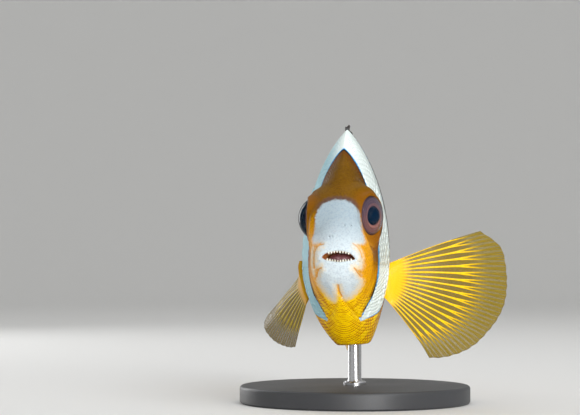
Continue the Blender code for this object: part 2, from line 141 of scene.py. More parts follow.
def bezier(a: Any, b: Any, c: Any, d: Any, t: Any) -> Array:
    """A point of the cubic with ends a and d that b and c pull."""
    return a * (1 - t) ** 3 + 3 * b * t * (1 - t) ** 2 + 3 * c * t * t * (1 - t) + d * t**3


def fade(value: Any, low: float, high: float) -> Array:
    """A smooth step from 0 at low to 1 at high."""
    t = np.clip((value - low) / (high - low), 0, 1)
    return t * t * (3 - 2 * t)


def hump(distance: Any, width: float) -> Array:
    """A bell of height 1 that has sunk to a third at the width."""
    return np.exp(-((distance / width) ** 2))


def unit(vectors: Array) -> Array:
    """Vectors of length 1 along the last axis."""
    return vectors / np.maximum(np.linalg.norm(vectors, axis=-1, keepdims=True), 1e-9)


def beside_line(points: Array, line: Line) -> tuple[Array, Array]:
    """Where points lie beside a line of straight stretches.

    Args:
        points: Points in the line's plane, one to a row.
        line: The line's corners.

    Returns:
        The distance of each point, and the share of the line's stretches before its nearest place.
    """
    best, share = np.full(len(points), np.inf), np.zeros(len(points))
    for number, (start, end) in enumerate(zip(line, line[1:])):
        a, b = np.array(start), np.array(end)
        t = np.clip(((points - a) @ (b - a)) / ((b - a) @ (b - a)), 0, 1)
        distance = np.linalg.norm(points - a - t[:, None] * (b - a), axis=1)
        share = np.where(distance < best, (number + t) / (len(line) - 1), share)
        best = np.minimum(best, distance)
    return best, share


def within(points: Array, outline: Line) -> Array:
    """Whether each point lies inside a closed outline."""
    hit = np.zeros(len(points), bool)
    for (ax, ay), (bx, by) in zip(outline, outline[1:] + outline[:1]):
        if ay != by:
            crosses = (ay > points[:, 1]) != (by > points[:, 1])
            hit ^= crosses & (points[:, 0] < ax + (bx - ax) * (points[:, 1] - ay) / (by - ay))
    return hit


def depth_in(points: Array, outline: Line) -> Array:
    """How far inside a closed outline each point lies, negative outside it."""
    distance, _ = beside_line(points, outline + outline[:1])
    return np.where(within(points, outline), distance, -distance)


def softened(outline: Line, rounds: int = 2) -> Line:
    """A closed outline with its corners cut, so that it reads as a curve."""
    points = np.array(outline)
    for _ in range(rounds):
        after = np.roll(points, -1, axis=0)
        points = np.stack((0.75 * points + 0.25 * after, 0.25 * points + 0.75 * after), 1).reshape(-1, 2)
    return tuple((float(a), float(b)) for a, b in points)


# ---- The body's shape and pose ----


@dataclass(frozen=True)
class EyePlace:
    """Where an eye's rim lies: out to the side, back, up, and its turn towards the front in degrees."""

    out: float
    back: float
    up: float
    turn: float


@dataclass(frozen=True)
class Body:
    """The straight body's outline, as (place, value) lines, and the pose it is bent to."""

    length: float = 92.0
    back_line: Line = (
        (0, 2.6), (2.5, 5.9), (8, 12.6), (16, 20.8), (26, 27.2),
        (36, 28.2), (50, 26.9), (66, 19.8), (84, 9.9), (92, 10.1),
    )
    belly_line: Line = (
        (0, -3.0), (2.5, -5.6), (8, -9.7), (16, -14.3), (25, -19.0), (34, -22.3),
        (46, -22.4), (58, -18.4), (72, -10.4), (84, -4.7), (92, -4.9),
    )
    flat_line: Line = (
        (0, -26), (18, -22), (26, -19.3), (33, -19.5), (36, -18.7), (48, -18.9), (56, -22), (92, -26),
    )
    flat_edge: float = 0.5
    half_width: Line = (
        (0, 3.6), (2.5, 5.0), (8, 6.4), (17, 7.4), (22, 8.4), (27, 9.3),
        (37, 9.1), (50, 8.6), (66, 6.0), (84, 2.7), (92, 1.9),
    )
    widest_height: Line = ((0, 0), (16, -2.0), (28, -2.0), (50, 3.0), (92, 2.6))
    shoulder: Line = ((0, 0.55), (9, 0.70), (26, 0.69), (40, 0.66), (60, 0.56), (92, 0.55))
    ridge: Line = ((0, 0.55), (9, 0.45), (18, 0.12), (26, 0.03), (40, 0.04), (70, 0.2), (92, 0.5))
    flank: Line = ((0, 0.55), (24, 0.48), (34, 0.35), (50, 0.4), (92, 0.55))
    keel: Line = ((0, 0.55), (14, 0.42), (34, 0.45), (60, 0.32), (92, 0.5))
    snout_rounding: float = 1.6
    bend_start: float = 30.0
    bend_radius: float = 320.0
    breast_lean: float = 4.0
    lean_along: Line = ((24, 0), (34, 1), (44, 1), (62, 0))
    lean_below: Line = ((-19, 1), (-4, 0))
    rod_back: float = 44.0
    mouth_height: float = 33.0
    eyes: tuple[EyePlace, EyePlace] = (EyePlace(6.3, 12.2, 8.6, 29.0), EyePlace(7.2, 12.9, 8.0, 0.0))
    eye_radius: float = 4.1
    eye_ring: float = 2.2
    eye_field: float = 19.0
    socket_fade: float = 4.6

    def eye(self, side: Side) -> EyePlace:
        """The eye of a side."""
        return self.eyes[0] if side is Side.LEFT else self.eyes[1]

    def section(self, along: Array, turn: Array) -> tuple[Array, Array]:
        """The body's outline across, on its left side.

        Args:
            along: Places behind the lips.
            turn: From -1 at the belly line to 1 at the back line.

        Returns:
            The half widths and the heights.
        """
        blunt = np.sqrt(np.maximum(0, 1 - np.maximum(0, 1 - along / self.snout_rounding) ** 2))
        wide, middle = Curve(self.half_width)(along) * blunt, Curve(self.widest_height)(along)
        above, t = turn >= 0, np.abs(turn)
        edge = np.where(above, Curve(self.back_line)(along), Curve(self.belly_line)(along))
        side = np.where(above, Curve(self.shoulder)(along), Curve(self.flank)(along))
        end = np.where(above, Curve(self.ridge)(along), Curve(self.keel)(along))
        height = middle + (edge * blunt - middle) * bezier(0.0, side, 1.0, 1.0, t)
        flat = Curve(self.flat_line)(along)
        levelled = (height + flat + np.hypot(height - flat, self.flat_edge)) / 2
        return bezier(wide, wide, wide * end, 0.0, t), np.where(above, height, levelled)

    def own(self, points: Array, side: Side) -> Array:
        """Whether each point lies on a side of the fish."""
        return points[:, 0] >= 0 if side is Side.LEFT else points[:, 0] < 0

    def eye_distance(self, points: Array) -> Array:
        """How far each point lies from the middle of its own side's eye, in the plane of the eye's rim."""
        best = np.zeros(len(points))
        for side in Side:
            eye = self.eye(side)
            back = (points[:, 1] - eye.back) / math.cos(math.radians(eye.turn))
            away = np.hypot(back, points[:, 2] - eye.up)
            best = np.where(self.own(points, side), away, best)
        return best

    def eye_share(self, points: Array) -> Array:
        """How far each point lies outside its eye's rim, in widths of the ring round it, or 1 behind."""
        away = (self.eye_distance(points) - self.eye_radius) / self.eye_ring
        return np.where(points[:, 1] < self.eye_field, away, 1.0)

    def beside_eye(self, points: Array) -> Array:
        """Draws points of the skin to the level of the eye's rim where they lie round an eye.

        Args:
            points: Points of the bare outline.

        Returns:
            The moved points.
        """
        moved = points.copy()
        for side in Side:
            eye, own = self.eye(side), self.own(points, side)
            level = eye.out + (points[:, 1] - eye.back) * math.tan(math.radians(eye.turn))
            near = 1 - fade(self.eye_distance(points), self.eye_radius, self.eye_radius + self.socket_fade)
            near = near * np.minimum(1, np.abs(points[:, 0]) / (0.6 * eye.out)) ** 2
            drawn = points[:, 0] + (side.value * level - points[:, 0]) * near
            moved[:, 0] = np.where(own, drawn, moved[:, 0])
        return moved

    def surface(self, along: Array, around: Array) -> Array:
        """Points of the skin.

        Args:
            along: Places behind the lips.
            around: Turns from 0 to 1 round the body: belly, left side, back and right side.

        Returns:
            The points, one to a row.
        """
        lap = np.mod(around, 1.0)
        left = lap <= 0.5
        wide, height = self.section(along, np.where(left, 4 * lap - 1, 3 - 4 * lap))
        return self.beside_eye(np.stack((np.where(left, wide, -wide), along, height), 1))

    def underside(self, along: Array) -> Array:
        """The heights of the underside."""
        return self.section(along, -np.ones_like(along))[1]

    def half_width_at(self, along: Array, height: Array) -> Array:
        """The body's half width at each place and height."""
        turns = np.linspace(-1, 1, 121)
        found = []
        for place, level in zip(along, height):
            wide, heights = self.section(np.full_like(turns, place), turns)
            found.append(np.interp(level, heights, wide))
        return np.array(found)

    def bent(self, x: Array, along: Array) -> tuple[Array, Array]:
        """Where a straight fish's (x, along) comes in plan on the swimming curve."""
        turn = np.maximum(0, (along - self.bend_start) / self.bend_radius)
        return (
            x * np.cos(turn) - self.bend_radius * (1 - np.cos(turn)),
            x * np.sin(turn) + self.bend_radius * np.sin(turn) + np.minimum(along, self.bend_start),
        )

    def posed(self, points: Array) -> Array:
        """Bends points of the straight fish, in millimetres, to the pose.

        Args:
            points: The straight fish's points.

        Returns:
            The points on the display model, in metres.
        """
        x, along, height = points.T
        lean = math.radians(self.breast_lean) * Curve(self.lean_along)(along) * Curve(self.lean_below)(height)
        side, back = self.bent(x * np.cos(lean) - height * np.sin(lean), along)
        rod = np.array([self.rod_back])
        leaning = -self.underside(rod) * math.sin(math.radians(self.breast_lean))
        rod_side, rod_back = self.bent(leaning, rod)
        raised = x * np.sin(lean) + height * np.cos(lean) + self.mouth_height
        return np.stack((side - rod_side, back - rod_back, raised), 1) * MM


BODY = Body()


# ---- Markings: how far each point lies inside each field of colour ----


@dataclass(frozen=True)
class Markings:
    """The colour fields' outlines: the snout patch as seen from ahead, the bars as seen from the side."""

    patch: Line = (
        (-0.4, 11.9), (-2.5, 11.6), (-4.1, 10.7), (-5.0, 9.2), (-5.3, 7.5), (-5.25, 5.9), (-5.5, 4.8),
        (-5.9, 3.5), (-5.7, 2.75), (-4.6, 2.7), (-3.3, 2.8), (-4.2, 2.3), (-4.85, 1.6), (-5.25, 0.6),
        (-5.3, -0.6), (-5.3, -1.7), (-5.2, -2.4), (-4.5, -2.45), (-3.6, -2.3), (-4.3, -2.85), (-4.7, -3.6),
        (-4.9, -4.6), (-5.0, -5.4), (-4.0, -6.9), (-2.85, -8.5), (-1.2, -9.8), (-0.75, -8.2), (-0.55, -6.3),
        (-0.2, -6.4), (0.0, -7.3), (0.5, -9.1), (2.3, -8.7), (3.6, -7.3), (4.6, -5.8), (4.7, -4.9),
        (4.2, -3.9), (3.7, -3.1), (2.9, -2.25), (3.9, -2.55), (4.65, -2.6), (4.75, -1.6), (4.85, -0.7),
        (4.8, 0.2), (4.5, 1.2), (3.9, 2.05), (3.1, 2.6), (4.2, 2.4), (5.15, 2.7), (4.8, 4.4), (4.45, 5.9),
        (4.2, 7.5), (3.9, 9.2), (2.95, 10.7), (1.5, 11.6),
    )
    strip: Line = (
        (-5.45, 2.1), (-5.85, 1.5), (-6.1, 0.6), (-6.15, -0.6), (-6.1, -2.2), (-5.6, -4.2), (-5.1, -3.8),
        (-5.5, -2.2), (-5.6, -0.6), (-5.5, 0.6),
    )
    patch_back: float = 13.5
    eye_margin: float = 5.3
    steep_line: float = 0.22
    steep_reach: float = 3.0
    steep_top: Span = (9.0, 17.0)
    steep_foot: Span = (-13.5, -6.0)
    bar_foot: float = -13.0
    eye_reach: float = 22.0
    dark_rise: Span = (-9.0, 3.0)
    dark_start: Span = (22.0, 25.0)
    dark_belly: Span = (60, 80)
    belly_share: float = 0.35
    tail_pale: Span = (84.0, 90.0)
    tail_share: float = 0.9
    head_bar: Line = (
        (18.8, 34.0), (18.8, 22.9), (18.6, 16.8), (17.9, 12.7), (17.3, 8.0), (17.0, 2.0), (16.9, -3.0),
        (16.7, -7.1), (16.6, -10.3), (17.3, -12.3), (18.9, -14.0), (20.4, -13.5), (23.5, -12.9),
        (26.7, -12.1), (28.6, -10.0), (29.4, -6.0), (30.2, 0.0), (33.0, 8.0), (34.2, 16.0), (34.2, 22.0),
        (33.8, 34.0),
    )
    body_bar: Line = (
        (54.0, 34.0), (52.6, 24.0), (50.6, 12.0), (49.6, 2.0), (50.2, -8.0), (52.2, -15.0), (54.0, -24.0),
        (58.5, -24.0), (59.8, -13.0), (60.6, -2.0), (60.2, 10.0), (59.4, 22.0), (59.6, 34.0),
    )
    tail_bar: Line = ((83.6, 16.0), (82.8, 4.0), (83.4, -12.0), (89.6, -12.0), (90.2, 3.0), (89.4, 16.0))

    def bar_front(self, height: Array) -> Array:
        """The place of the head bar's front edge at each height, where the face's small scales end."""
        edge = sorted((height, along) for along, height in self.head_bar[1:9])
        return Curve(((-30.0, 16.2), *edge, (40.0, 18.8)))(height)

    def drawn_forward(self, depth: Array, points: Array) -> Array:
        """Widens the head bar's front lines where the head's side runs almost straight back.

        Args:
            depth: How deep each point lies in the head bar.
            points: The points.

        Returns:
            The depths, with those by the front edge made less.
        """
        height = points[:, 2]
        behind = points[:, 1] - self.bar_front(height)
        ends = fade(height, *self.steep_top) + 1 - fade(height, *self.steep_foot)
        steep = self.steep_line + (1 - self.steep_line) * ends
        inside = np.minimum(depth, behind * steep)
        far = fade(-behind, self.steep_reach / 3, self.steep_reach)
        outside = np.maximum(depth, behind * (steep + (1 - steep) * far))
        near = (behind > -self.steep_reach) & (behind < 0) & (height > self.bar_foot)
        return np.where(depth > 0, inside, np.where(near, outside, depth))

    def fields(self, points: Array) -> Array:
        """Where points of the straight fish lie on its markings.

        Args:
            points: Points of the straight fish.

        Returns:
            For each point, its depth in the snout patch, its depth in the nearest bar and its share of dark.
        """
        ahead, aside = points[:, (0, 2)], points[:, (1, 2)]
        patch = np.maximum(depth_in(ahead, softened(self.patch, 1)), depth_in(ahead, softened(self.strip)))
        patch = patch - np.maximum(0, points[:, 1] - self.patch_back)
        bars = [depth_in(aside, softened(bar)) for bar in (self.head_bar, self.body_bar, self.tail_bar)]
        eye = np.where(points[:, 1] < self.eye_reach, BODY.eye_distance(points) - self.eye_margin, np.inf)
        bars[0] = np.minimum(self.drawn_forward(bars[0], points), eye)
        along, height = points[:, 1], points[:, 2]
        flank = np.maximum(fade(height, *self.dark_rise), self.belly_share * fade(along, *self.dark_belly))
        dark = fade(along, *self.dark_start) * flank * (1 - self.tail_share * fade(along, *self.tail_pale))
        return np.stack((patch, np.max(bars, axis=0), dark), 1)


MARKINGS = Markings()


# ---- Shader graphs ----


def srgb(red: int, green: int, blue: int) -> Colour:
    """A colour of the screen, with channels from 0 to 255, in light's own shares."""
    shares = [channel / 255 for channel in (red, green, blue)]
    return tuple(c / 12.92 if c <= 0.04045 else ((c + 0.055) / 1.055) ** 2.4 for c in shares)


def math_node(operation: str, swapped: bool = False) -> Callable[..., "Signal"]:
    """A method of signals that adds a Math node.

    Args:
        operation: The node's operation.
        swapped: Whether the signal comes last among its inputs.

    Returns:
        The method.
    """

    def method(self: "Signal", *others: Any) -> "Signal":
        """The operation's result."""
        values = (*others, self) if swapped else (self, *others)
        node = self.graph.node("Math", {"operation": operation}, dict(enumerate(values)))
        return Signal(self.graph, node.outputs[0])

    return method


class Signal:
    """A number that varies over a surface. Arithmetic on it adds Math nodes."""

    __add__ = __radd__ = math_node("ADD")
    __sub__ = math_node("SUBTRACT")
    __rsub__ = math_node("SUBTRACT", swapped=True)
    __mul__ = __rmul__ = math_node("MULTIPLY")
    least = math_node("MINIMUM")
    most = math_node("MAXIMUM")
    size = math_node("ABSOLUTE")
    wave = math_node("SINE")

    def __init__(self, graph: "Graph", socket: Socket) -> None:
        """Wraps an output socket of a graph."""
        self.graph = graph
        self.socket = socket

    def fade(self, low: float, high: float) -> "Signal":
        """A smooth step from 0 at low to 1 at high, or down where low is the higher."""
        start, end, first, last = (low, high, 0.0, 1.0) if low < high else (high, low, 1.0, 0.0)
        node = self.graph.node(
            "MapRange", {"interpolation_type": "SMOOTHSTEP"},
            {0: self, 1: start, 2: end, 3: first, 4: last},
        )
        return Signal(self.graph, node.outputs[0])

    def band(self, middle: float, width: float) -> "Signal":
        """1 at the middle, fading to 0 at the width on either side."""
        return (self - middle).size().fade(width, 0.0)


Feed = Union[float, Colour, Signal, Socket]


class Graph:
    """The nodes of one material."""

    def __init__(self, name: str) -> None:
        """Starts an empty material.

        Args:
            name: The material's name.
        """
        self.material = bpy.data.materials.new(name)
        self.material.use_nodes = True
        self.nodes = self.material.node_tree.nodes
        self.links = self.material.node_tree.links
        self.nodes.clear()
        self.output = self.nodes.new("ShaderNodeOutputMaterial")

    def node(self, kind: str, settings: Optional[dict] = None, feeds: Optional[dict] = None) -> Node:
        """Adds a node.

        Args:
            kind: The node's type, without its first words.
            settings: The node's own settings, set first.
            feeds: Values or links, by the name or number of each input.

        Returns:
            The node.
        """
        made = self.nodes.new(f"ShaderNode{kind}")
        for name, value in (settings or {}).items():
            setattr(made, name, value)
        for name, value in (feeds or {}).items():
            self.feed(made.inputs[name], value)
        return made

    def feed(self, socket: Socket, value: Any) -> None:
        """Sets an input socket to a number or colour, or links it."""
        if isinstance(value, (Signal, Socket)):
            self.links.new(getattr(value, "socket", value), socket)
        elif socket.type == "RGBA":
            socket.default_value = (*value, 1.0) if len(value) == 3 else value
        else:
            socket.default_value = value

    def attribute(self, name: str) -> tuple[Signal, Signal, Signal]:
        """The three numbers of a mesh attribute."""
        vector = self.node("Attribute", {"attribute_name": name}).outputs["Vector"]
        parts = self.node("SeparateXYZ", None, {0: vector})
        return tuple(Signal(self, part) for part in parts.outputs)

    def own_place(self) -> Socket:
        """The place in the object's own frame."""
        return self.node("TexCoord").outputs["Object"]

    def noise(
        self, scale: float, detail: float = 3.0, place: Optional[Socket] = None,
        stretch: Optional[Place] = None,
    ) -> Signal:
        """Noise about 0, from roughly -0.5 to 0.5, read at the mesh's "place" or at another one."""
        where = place or self.node("Attribute", {"attribute_name": "place"}).outputs["Vector"]
        if stretch:
            feeds = {0: where, 1: stretch}
            where = self.node("VectorMath", {"operation": "MULTIPLY"}, feeds).outputs[0]
        feeds = {"Vector": where, "Scale": scale, "Detail": detail, "Roughness": 0.55}
        return Signal(self, self.node("TexNoise", None, feeds).outputs["Fac"]) - 0.5

    def mix(self, share: Feed, first: Feed, second: Feed, way: str = "MIX") -> Socket:
        """A mix of two colours.

        Args:
            share: The second colour's share.
            first: The first colour.
            second: The second colour.
            way: The blend type.

        Returns:
            The mixed colour.
        """
        made = self.nodes.new("ShaderNodeMix")
        made.data_type = "RGBA"
        made.blend_type = way
        made.clamp_factor = True
        for socket, value in ((made.inputs[0], share), (made.inputs[6], first), (made.inputs[7], second)):
            self.feed(socket, value)
        return made.outputs[2]

    def surface(self, colour: Feed, constants: dict, **varying: Any) -> Socket:
        """A Principled shader.

        Args:
            colour: Its base colour.
            constants: Plain values of sockets, by name.
            **varying: Roughness, normal and alpha, where they vary.

        Returns:
            The shader's output.
        """
        shader = self.node("BsdfPrincipled", None, {"Base Color": colour, **constants})
        for name, value in varying.items():
            self.feed(shader.inputs[name.capitalize()], value)
        return shader.outputs[0]

    def done(self, shader: Socket) -> Material:
        """Joins the shader to the output and returns the material."""
        self.links.new(shader, self.output.inputs["Surface"])
        return self.material

    def finished(
        self, colour: Feed, constants: dict, height: Signal, relief: Span, **varying: Signal
    ) -> Material:
        """Ends the material with a Principled shader over a relief of a depth in metres and a strength."""
        feeds = {"Height": height, "Distance": relief[0], "Strength": relief[1]}
        normal = self.node("Bump", None, feeds).outputs[0]
        return self.done(self.surface(colour, constants, normal=normal, **varying))


# ---- Finishes ----


@dataclass
class HideFields:
    """What the hide's looks go by: places, depths in the markings, what is near, and two noises."""

    graph: Graph

    def __post_init__(self) -> None:
        """Reads the mesh's attributes."""
        graph = self.graph
        self.side, self.along, self.height = graph.attribute("place")
        self.patch, self.bar, self.dark = graph.attribute("marks")
        self.eye, self.line, self.depth = graph.attribute("detail")
        self.grain, self.speck = graph.noise(1.6, 4.0), graph.noise(2.6)


@dataclass(frozen=True)
class HideFinish:
    """The fish's wet hide. The skin and the scales share its colours.

    A span is where a look sets in: by millimetres of height above the mouth line, of depth inside a marking
    or of place behind the lips, or by a noise's strength. A share is how much of a look is laid on at most.
    """

    name: str = "hide"
    scaled: bool = False
    # The forehead's brown is partly the hide's own tone and partly painted shade.
    forehead: Colour = srgb(114, 78, 0)
    cheek: Colour = srgb(236, 162, 0)
    throat: Colour = srgb(255, 212, 0)
    black: Colour = srgb(18, 13, 14)
    brown: Colour = srgb(66, 34, 14)
    snout: Colour = srgb(203, 214, 219)
    snout_top: Colour = srgb(160, 176, 184)
    snout_shadow: Colour = srgb(84, 66, 74)
    snout_speck: Colour = srgb(144, 158, 174)
    snout_warm: Colour = srgb(240, 196, 104)
    bar: Colour = srgb(236, 247, 244)
    bar_cloud: Colour = srgb(176, 204, 210)
    bar_line: Colour = srgb(24, 156, 224)
    # Painted shade: the pale blue of the head bar on the fish's right side.
    bar_painted_shade: Colour = srgb(128, 190, 208)
    band: Colour = srgb(104, 48, 2)
    fold: Colour = srgb(224, 148, 4)
    gum: Colour = srgb(200, 128, 70)
    gullet: Colour = srgb(48, 20, 26)
    eye_ring: Colour = srgb(136, 80, 2)
    socket: Colour = srgb(40, 28, 30)
    rim_tint: Colour = srgb(190, 104, 8)
    cheek_rise: Span = (-11.5, -3.0)
    forehead_rise: Span = (3.0, 10.5)
    freckle_noise: Span = (0.0, 0.35)
    freckle_rise: Span = (-12.0, 0.0)
    freckle_share: float = 0.45
    dark_edge: Span = (0.25, 0.85)
    snout_edge: Span = (-0.28, 0.32)
    snout_rise: Span = (0.0, 9.0)
    soft_margin: Span = (5.0, 2.6)
    shadow_band: Span = (-0.3, 0.9)
    shadow_rise: Span = (8.5, 11.5)
    shadow_share: float = 0.65
    speck_noise: Span = (-0.06, 0.16)
    speck_rise: Span = (2.0, 10.0)
    speck_shares: Span = (0.34, 0.3)
    warm_edge: Span = (1.5, 0.0)
    warm_fall: Span = (4.0, 1.0)
    warm_share: float = 0.5
    fold_edge: Span = (0.3, 0.95)
    fold_share: float = 0.75
    band_edge: Span = (-10.5, -2.5)
    band_foot: Span = (-5.5, 0.5)
    band_top: Span = (14.0, 7.0)
    band_share: float = 0.8
    low_band_edge: Span = (-2.6, -0.5)
    low_band_foot: Span = (-12.0, -8.0)
    low_band_share: float = 0.55
    black_edge: Span = (-0.42, -0.2)
    black_foot: Span = (-13.0, -11.0)
    cloud_noise: Span = (0.0, 0.5)
    cloud_share: float = 0.25
    line_edge: Span = (0.46, 0.14)
    line_foot: Span = (-14.5, -12.0)
    bar_edge: Span = (-0.06, 0.1)
    bar_painted_shade_edge: Span = (0.0, 0.3)
    bar_painted_shade_side: Span = (0.0, -4.0)
    bar_painted_shade_end: Span = (34.0, 28.0)
    bar_painted_shade_share: float = 0.75
    gum_depth: Span = (0.0, 0.08)
    gullet_depth: Span = (0.5, 0.85)
    ring_edge: Span = (0.95, 0.2)
    ring_outside: Span = (0.5, -0.5)
    ring_share: float = 0.6
    socket_edge: Span = (0.06, 0.0)
    socket_share: float = 0.85
    rim_edge: Span = (0.15, 0.6)
    rim_fall: Span = (-5.0, -9.0)
    rim_outside: Span = (0.1, -0.1)
    rim_shares: Span = (0.3, 0.7)
    dash_shares: Span = (0.2, 1.1)
    whole_scale_share: float = 0.25

    def skin_colour(self, on: HideFields) -> Socket:
        """The orange hide, from the brown forehead to the yellow throat, and dark behind the head. The
        forehead's brown is partly the hide's own tone and partly painted shade.
        """
        graph, height = on.graph, on.height
        grain = graph.noise(1.3, 4.0)
        level = height + 5.0 * graph.noise(0.22, 2.0) + 1.6 * grain
        colour = graph.mix(level.fade(*self.cheek_rise), self.throat, self.cheek)
        # Darker towards the top of the head: partly the hide's own tone, partly painted shade.
        colour = graph.mix(level.fade(*self.forehead_rise), colour, self.forehead)
        freckles = (on.speck + 0.1).fade(*self.freckle_noise) * height.fade(*self.freckle_rise)
        colour = graph.mix(freckles * self.freckle_share, colour, self.brown, "MULTIPLY")
        return graph.mix((on.dark + 0.5 * grain * on.dark).fade(*self.dark_edge), colour, self.black)

    def with_snout(self, on: HideFields, colour: Feed) -> Socket:
        """A colour with the pale snout patch laid over it."""
        graph, height, grain = on.graph, on.height, on.grain
        soft = height.fade(*self.soft_margin)
        margin = (on.patch + (1.1 + 0.4 * soft) * grain) * (1.0 - 0.4 * soft) + 0.1 * soft
        shadow = margin.band(*self.shadow_band) * height.fade(*self.shadow_rise)
        colour = graph.mix(shadow * self.shadow_share, colour, self.snout_shadow)
        pale = graph.mix(height.fade(*self.snout_rise), self.snout, self.snout_top)
        least, more = self.speck_shares
        specked = on.speck.fade(*self.speck_noise) * (least + height.fade(*self.speck_rise) * more)
        pale = graph.mix(specked, pale, self.snout_speck)
        warm = (on.patch + 2.2 * grain).fade(*self.warm_edge) * height.fade(*self.warm_fall)
        pale = graph.mix(warm * self.warm_share, pale, self.snout_warm)
        return graph.mix(margin.fade(*self.snout_edge), colour, pale)

    def with_bars(self, on: HideFields, colour: Feed) -> Socket:
        """A colour with the cheek's brown band and the bars laid over it, black and blue at their edges, and
        painted shade on the head bar's right side.
        """
        graph, height, grain = on.graph, on.height, on.grain
        edge = on.bar + 0.12 * grain
        band = (edge + 4.0 * grain).fade(*self.band_edge) * height.fade(*self.band_foot)
        band = band * height.fade(*self.band_top) * self.band_share
        low_band = (edge + 1.2 * grain).fade(*self.low_band_edge) * height.fade(*self.low_band_foot)
        colour = graph.mix(band.most(low_band * self.low_band_share), colour, self.band)
        black = edge.fade(*self.black_edge) * height.fade(*self.black_foot)
        colour = graph.mix(black, colour, self.black)
        cloud = (0.6 * grain + on.speck * 0.3 + 0.1).fade(*self.cloud_noise)
        white = graph.mix(cloud * self.cloud_share, self.bar, self.bar_cloud)
        white = graph.mix(edge.fade(*self.line_edge) * height.fade(*self.line_foot), white, self.bar_line)
        colour = graph.mix(edge.fade(*self.bar_edge), colour, white)
        # Painted shade: the head bar on the fish's right side is tinted pale blue.
        shade = edge.fade(*self.bar_painted_shade_edge) * on.side.fade(*self.bar_painted_shade_side) * on.along.fade(*self.bar_painted_shade_end)
        return graph.mix(shade * self.bar_painted_shade_share, colour, self.bar_painted_shade)

    def with_gullet(self, on: HideFields, colour: Feed) -> Socket:
        """The skin's colour with the gum and the gullet laid over it."""
        depth = on.depth + 0.06 * on.grain
        colour = on.graph.mix(depth.fade(*self.gum_depth), colour, self.gum)
        return on.graph.mix(depth.fade(*self.gullet_depth), colour, self.gullet)

    def with_rims(self, on: HideFields, colour: Feed) -> Socket:
        """A colour of scales with their rims tinted outside the bars, most of all on the throat."""
        dash, rim = on.line, on.depth
        low, outside = on.height.fade(*self.rim_fall), on.bar.fade(*self.rim_outside)
        least, more = self.rim_shares
        pale, dark = self.dash_shares
        shown = rim.fade(*self.rim_edge) * ((least + more * low) * outside * (pale + dark * dash))
        shown = shown + dash * self.whole_scale_share * low * outside
        return on.graph.mix(shown.least(1.0), colour, self.rim_tint, "MULTIPLY")

    def dressed(self) -> Material:
        """The finished material."""
        graph = Graph(self.name)
        on = HideFields(graph)
        colour = self.with_snout(on, self.skin_colour(on))
        if not self.scaled:
            creased = (on.line * (1.0 + on.grain)).fade(*self.fold_edge)
            colour = graph.mix(creased * self.fold_share, colour, self.fold)
        colour = self.with_bars(on, colour)
        if not self.scaled:
            colour = self.with_gullet(on, colour)
        ring = on.eye.fade(*self.ring_edge) * self.ring_share * on.patch.fade(*self.ring_outside)
        colour = graph.mix(ring, colour, self.eye_ring)
        colour = graph.mix(on.eye.fade(*self.socket_edge) * self.socket_share, colour, self.socket)
        if self.scaled:
            colour = self.with_rims(on, colour)
        fine, pores = graph.noise(5.0), graph.noise(11.0, 1.0)
        shine = {"Coat Weight": 0.04, "Coat Roughness": 0.16, "Coat IOR": 1.35, "Specular IOR Level": 0.06}
        height = fine * 0.6 + pores * 0.4
        return graph.finished(colour, shine, height, (0.00012, 0.6), roughness=0.42 + 0.22 * fine)


@dataclass(frozen=True)
class FinFinish:
    """A fin's rays and see-through membrane. Places and spans are shares of the way from root to rim."""

    name: str
    ray: Colour
    membrane: Colour
    rim: Colour
    root: Colour
    clear: float = 0.35
    rim_clear: float = 0.5
    rim_start: float = 0.74
    rim_fade: float = 0.12
    ray_edge: Span = (0.1, 0.6)
    joints: float = 150.0
    joint_edge: Span = (0.2, 0.95)
    joint_share: float = 0.28
    root_end: Span = (0.24, 0.1)
    held_ray: Span = (0.05, 0.5)
    held_root: Span = (0.3, 0.14)

    def dressed(self) -> Material:
        """The finished material."""
        graph = Graph(self.name)
        _, out, ray = graph.attribute("fan")
        grain = graph.noise(1.1)
        fan = graph.node("Attribute", {"attribute_name": "fan"}).outputs["Vector"]
        streak = graph.noise(1.0, place=fan, stretch=(60.0, 2.2, 0.0))
        joints = (out * self.joints + 2.0 * grain).wave()
        outer = (out + 0.05 * streak).fade(self.rim_start - self.rim_fade, self.rim_start + self.rim_fade)
        colour = graph.mix((ray + 0.25 * streak).fade(*self.ray_edge), self.membrane, self.ray)
        jointed = joints.fade(*self.joint_edge) * ray * self.joint_share
        colour = graph.mix(jointed, colour, self.root, "MULTIPLY")
        colour = graph.mix(outer, colour, self.rim)
        colour = graph.mix((out + 0.06 * grain).fade(*self.root_end), colour, self.root)
        web = self.clear + 0.5 * streak.size()
        rim = 1.0 - self.rim_clear + 0.35 * streak
        held = (1.0 - web).most(ray.fade(*self.held_ray))
        held = held * (1.0 - outer) + (rim + 0.3 * ray) * outer
        alpha = held.most(out.fade(*self.held_root)).least(1.0)
        height = streak * 0.5 + joints * ray * 0.25 + grain * 0.3
        shine = {"Coat Weight": 0.1, "Coat Roughness": 0.15, "Specular IOR Level": 0.15}
        rough = 0.4 + 0.2 * grain
        return graph.finished(colour, shine, height, (0.00008, 0.7), roughness=rough, alpha=alpha)


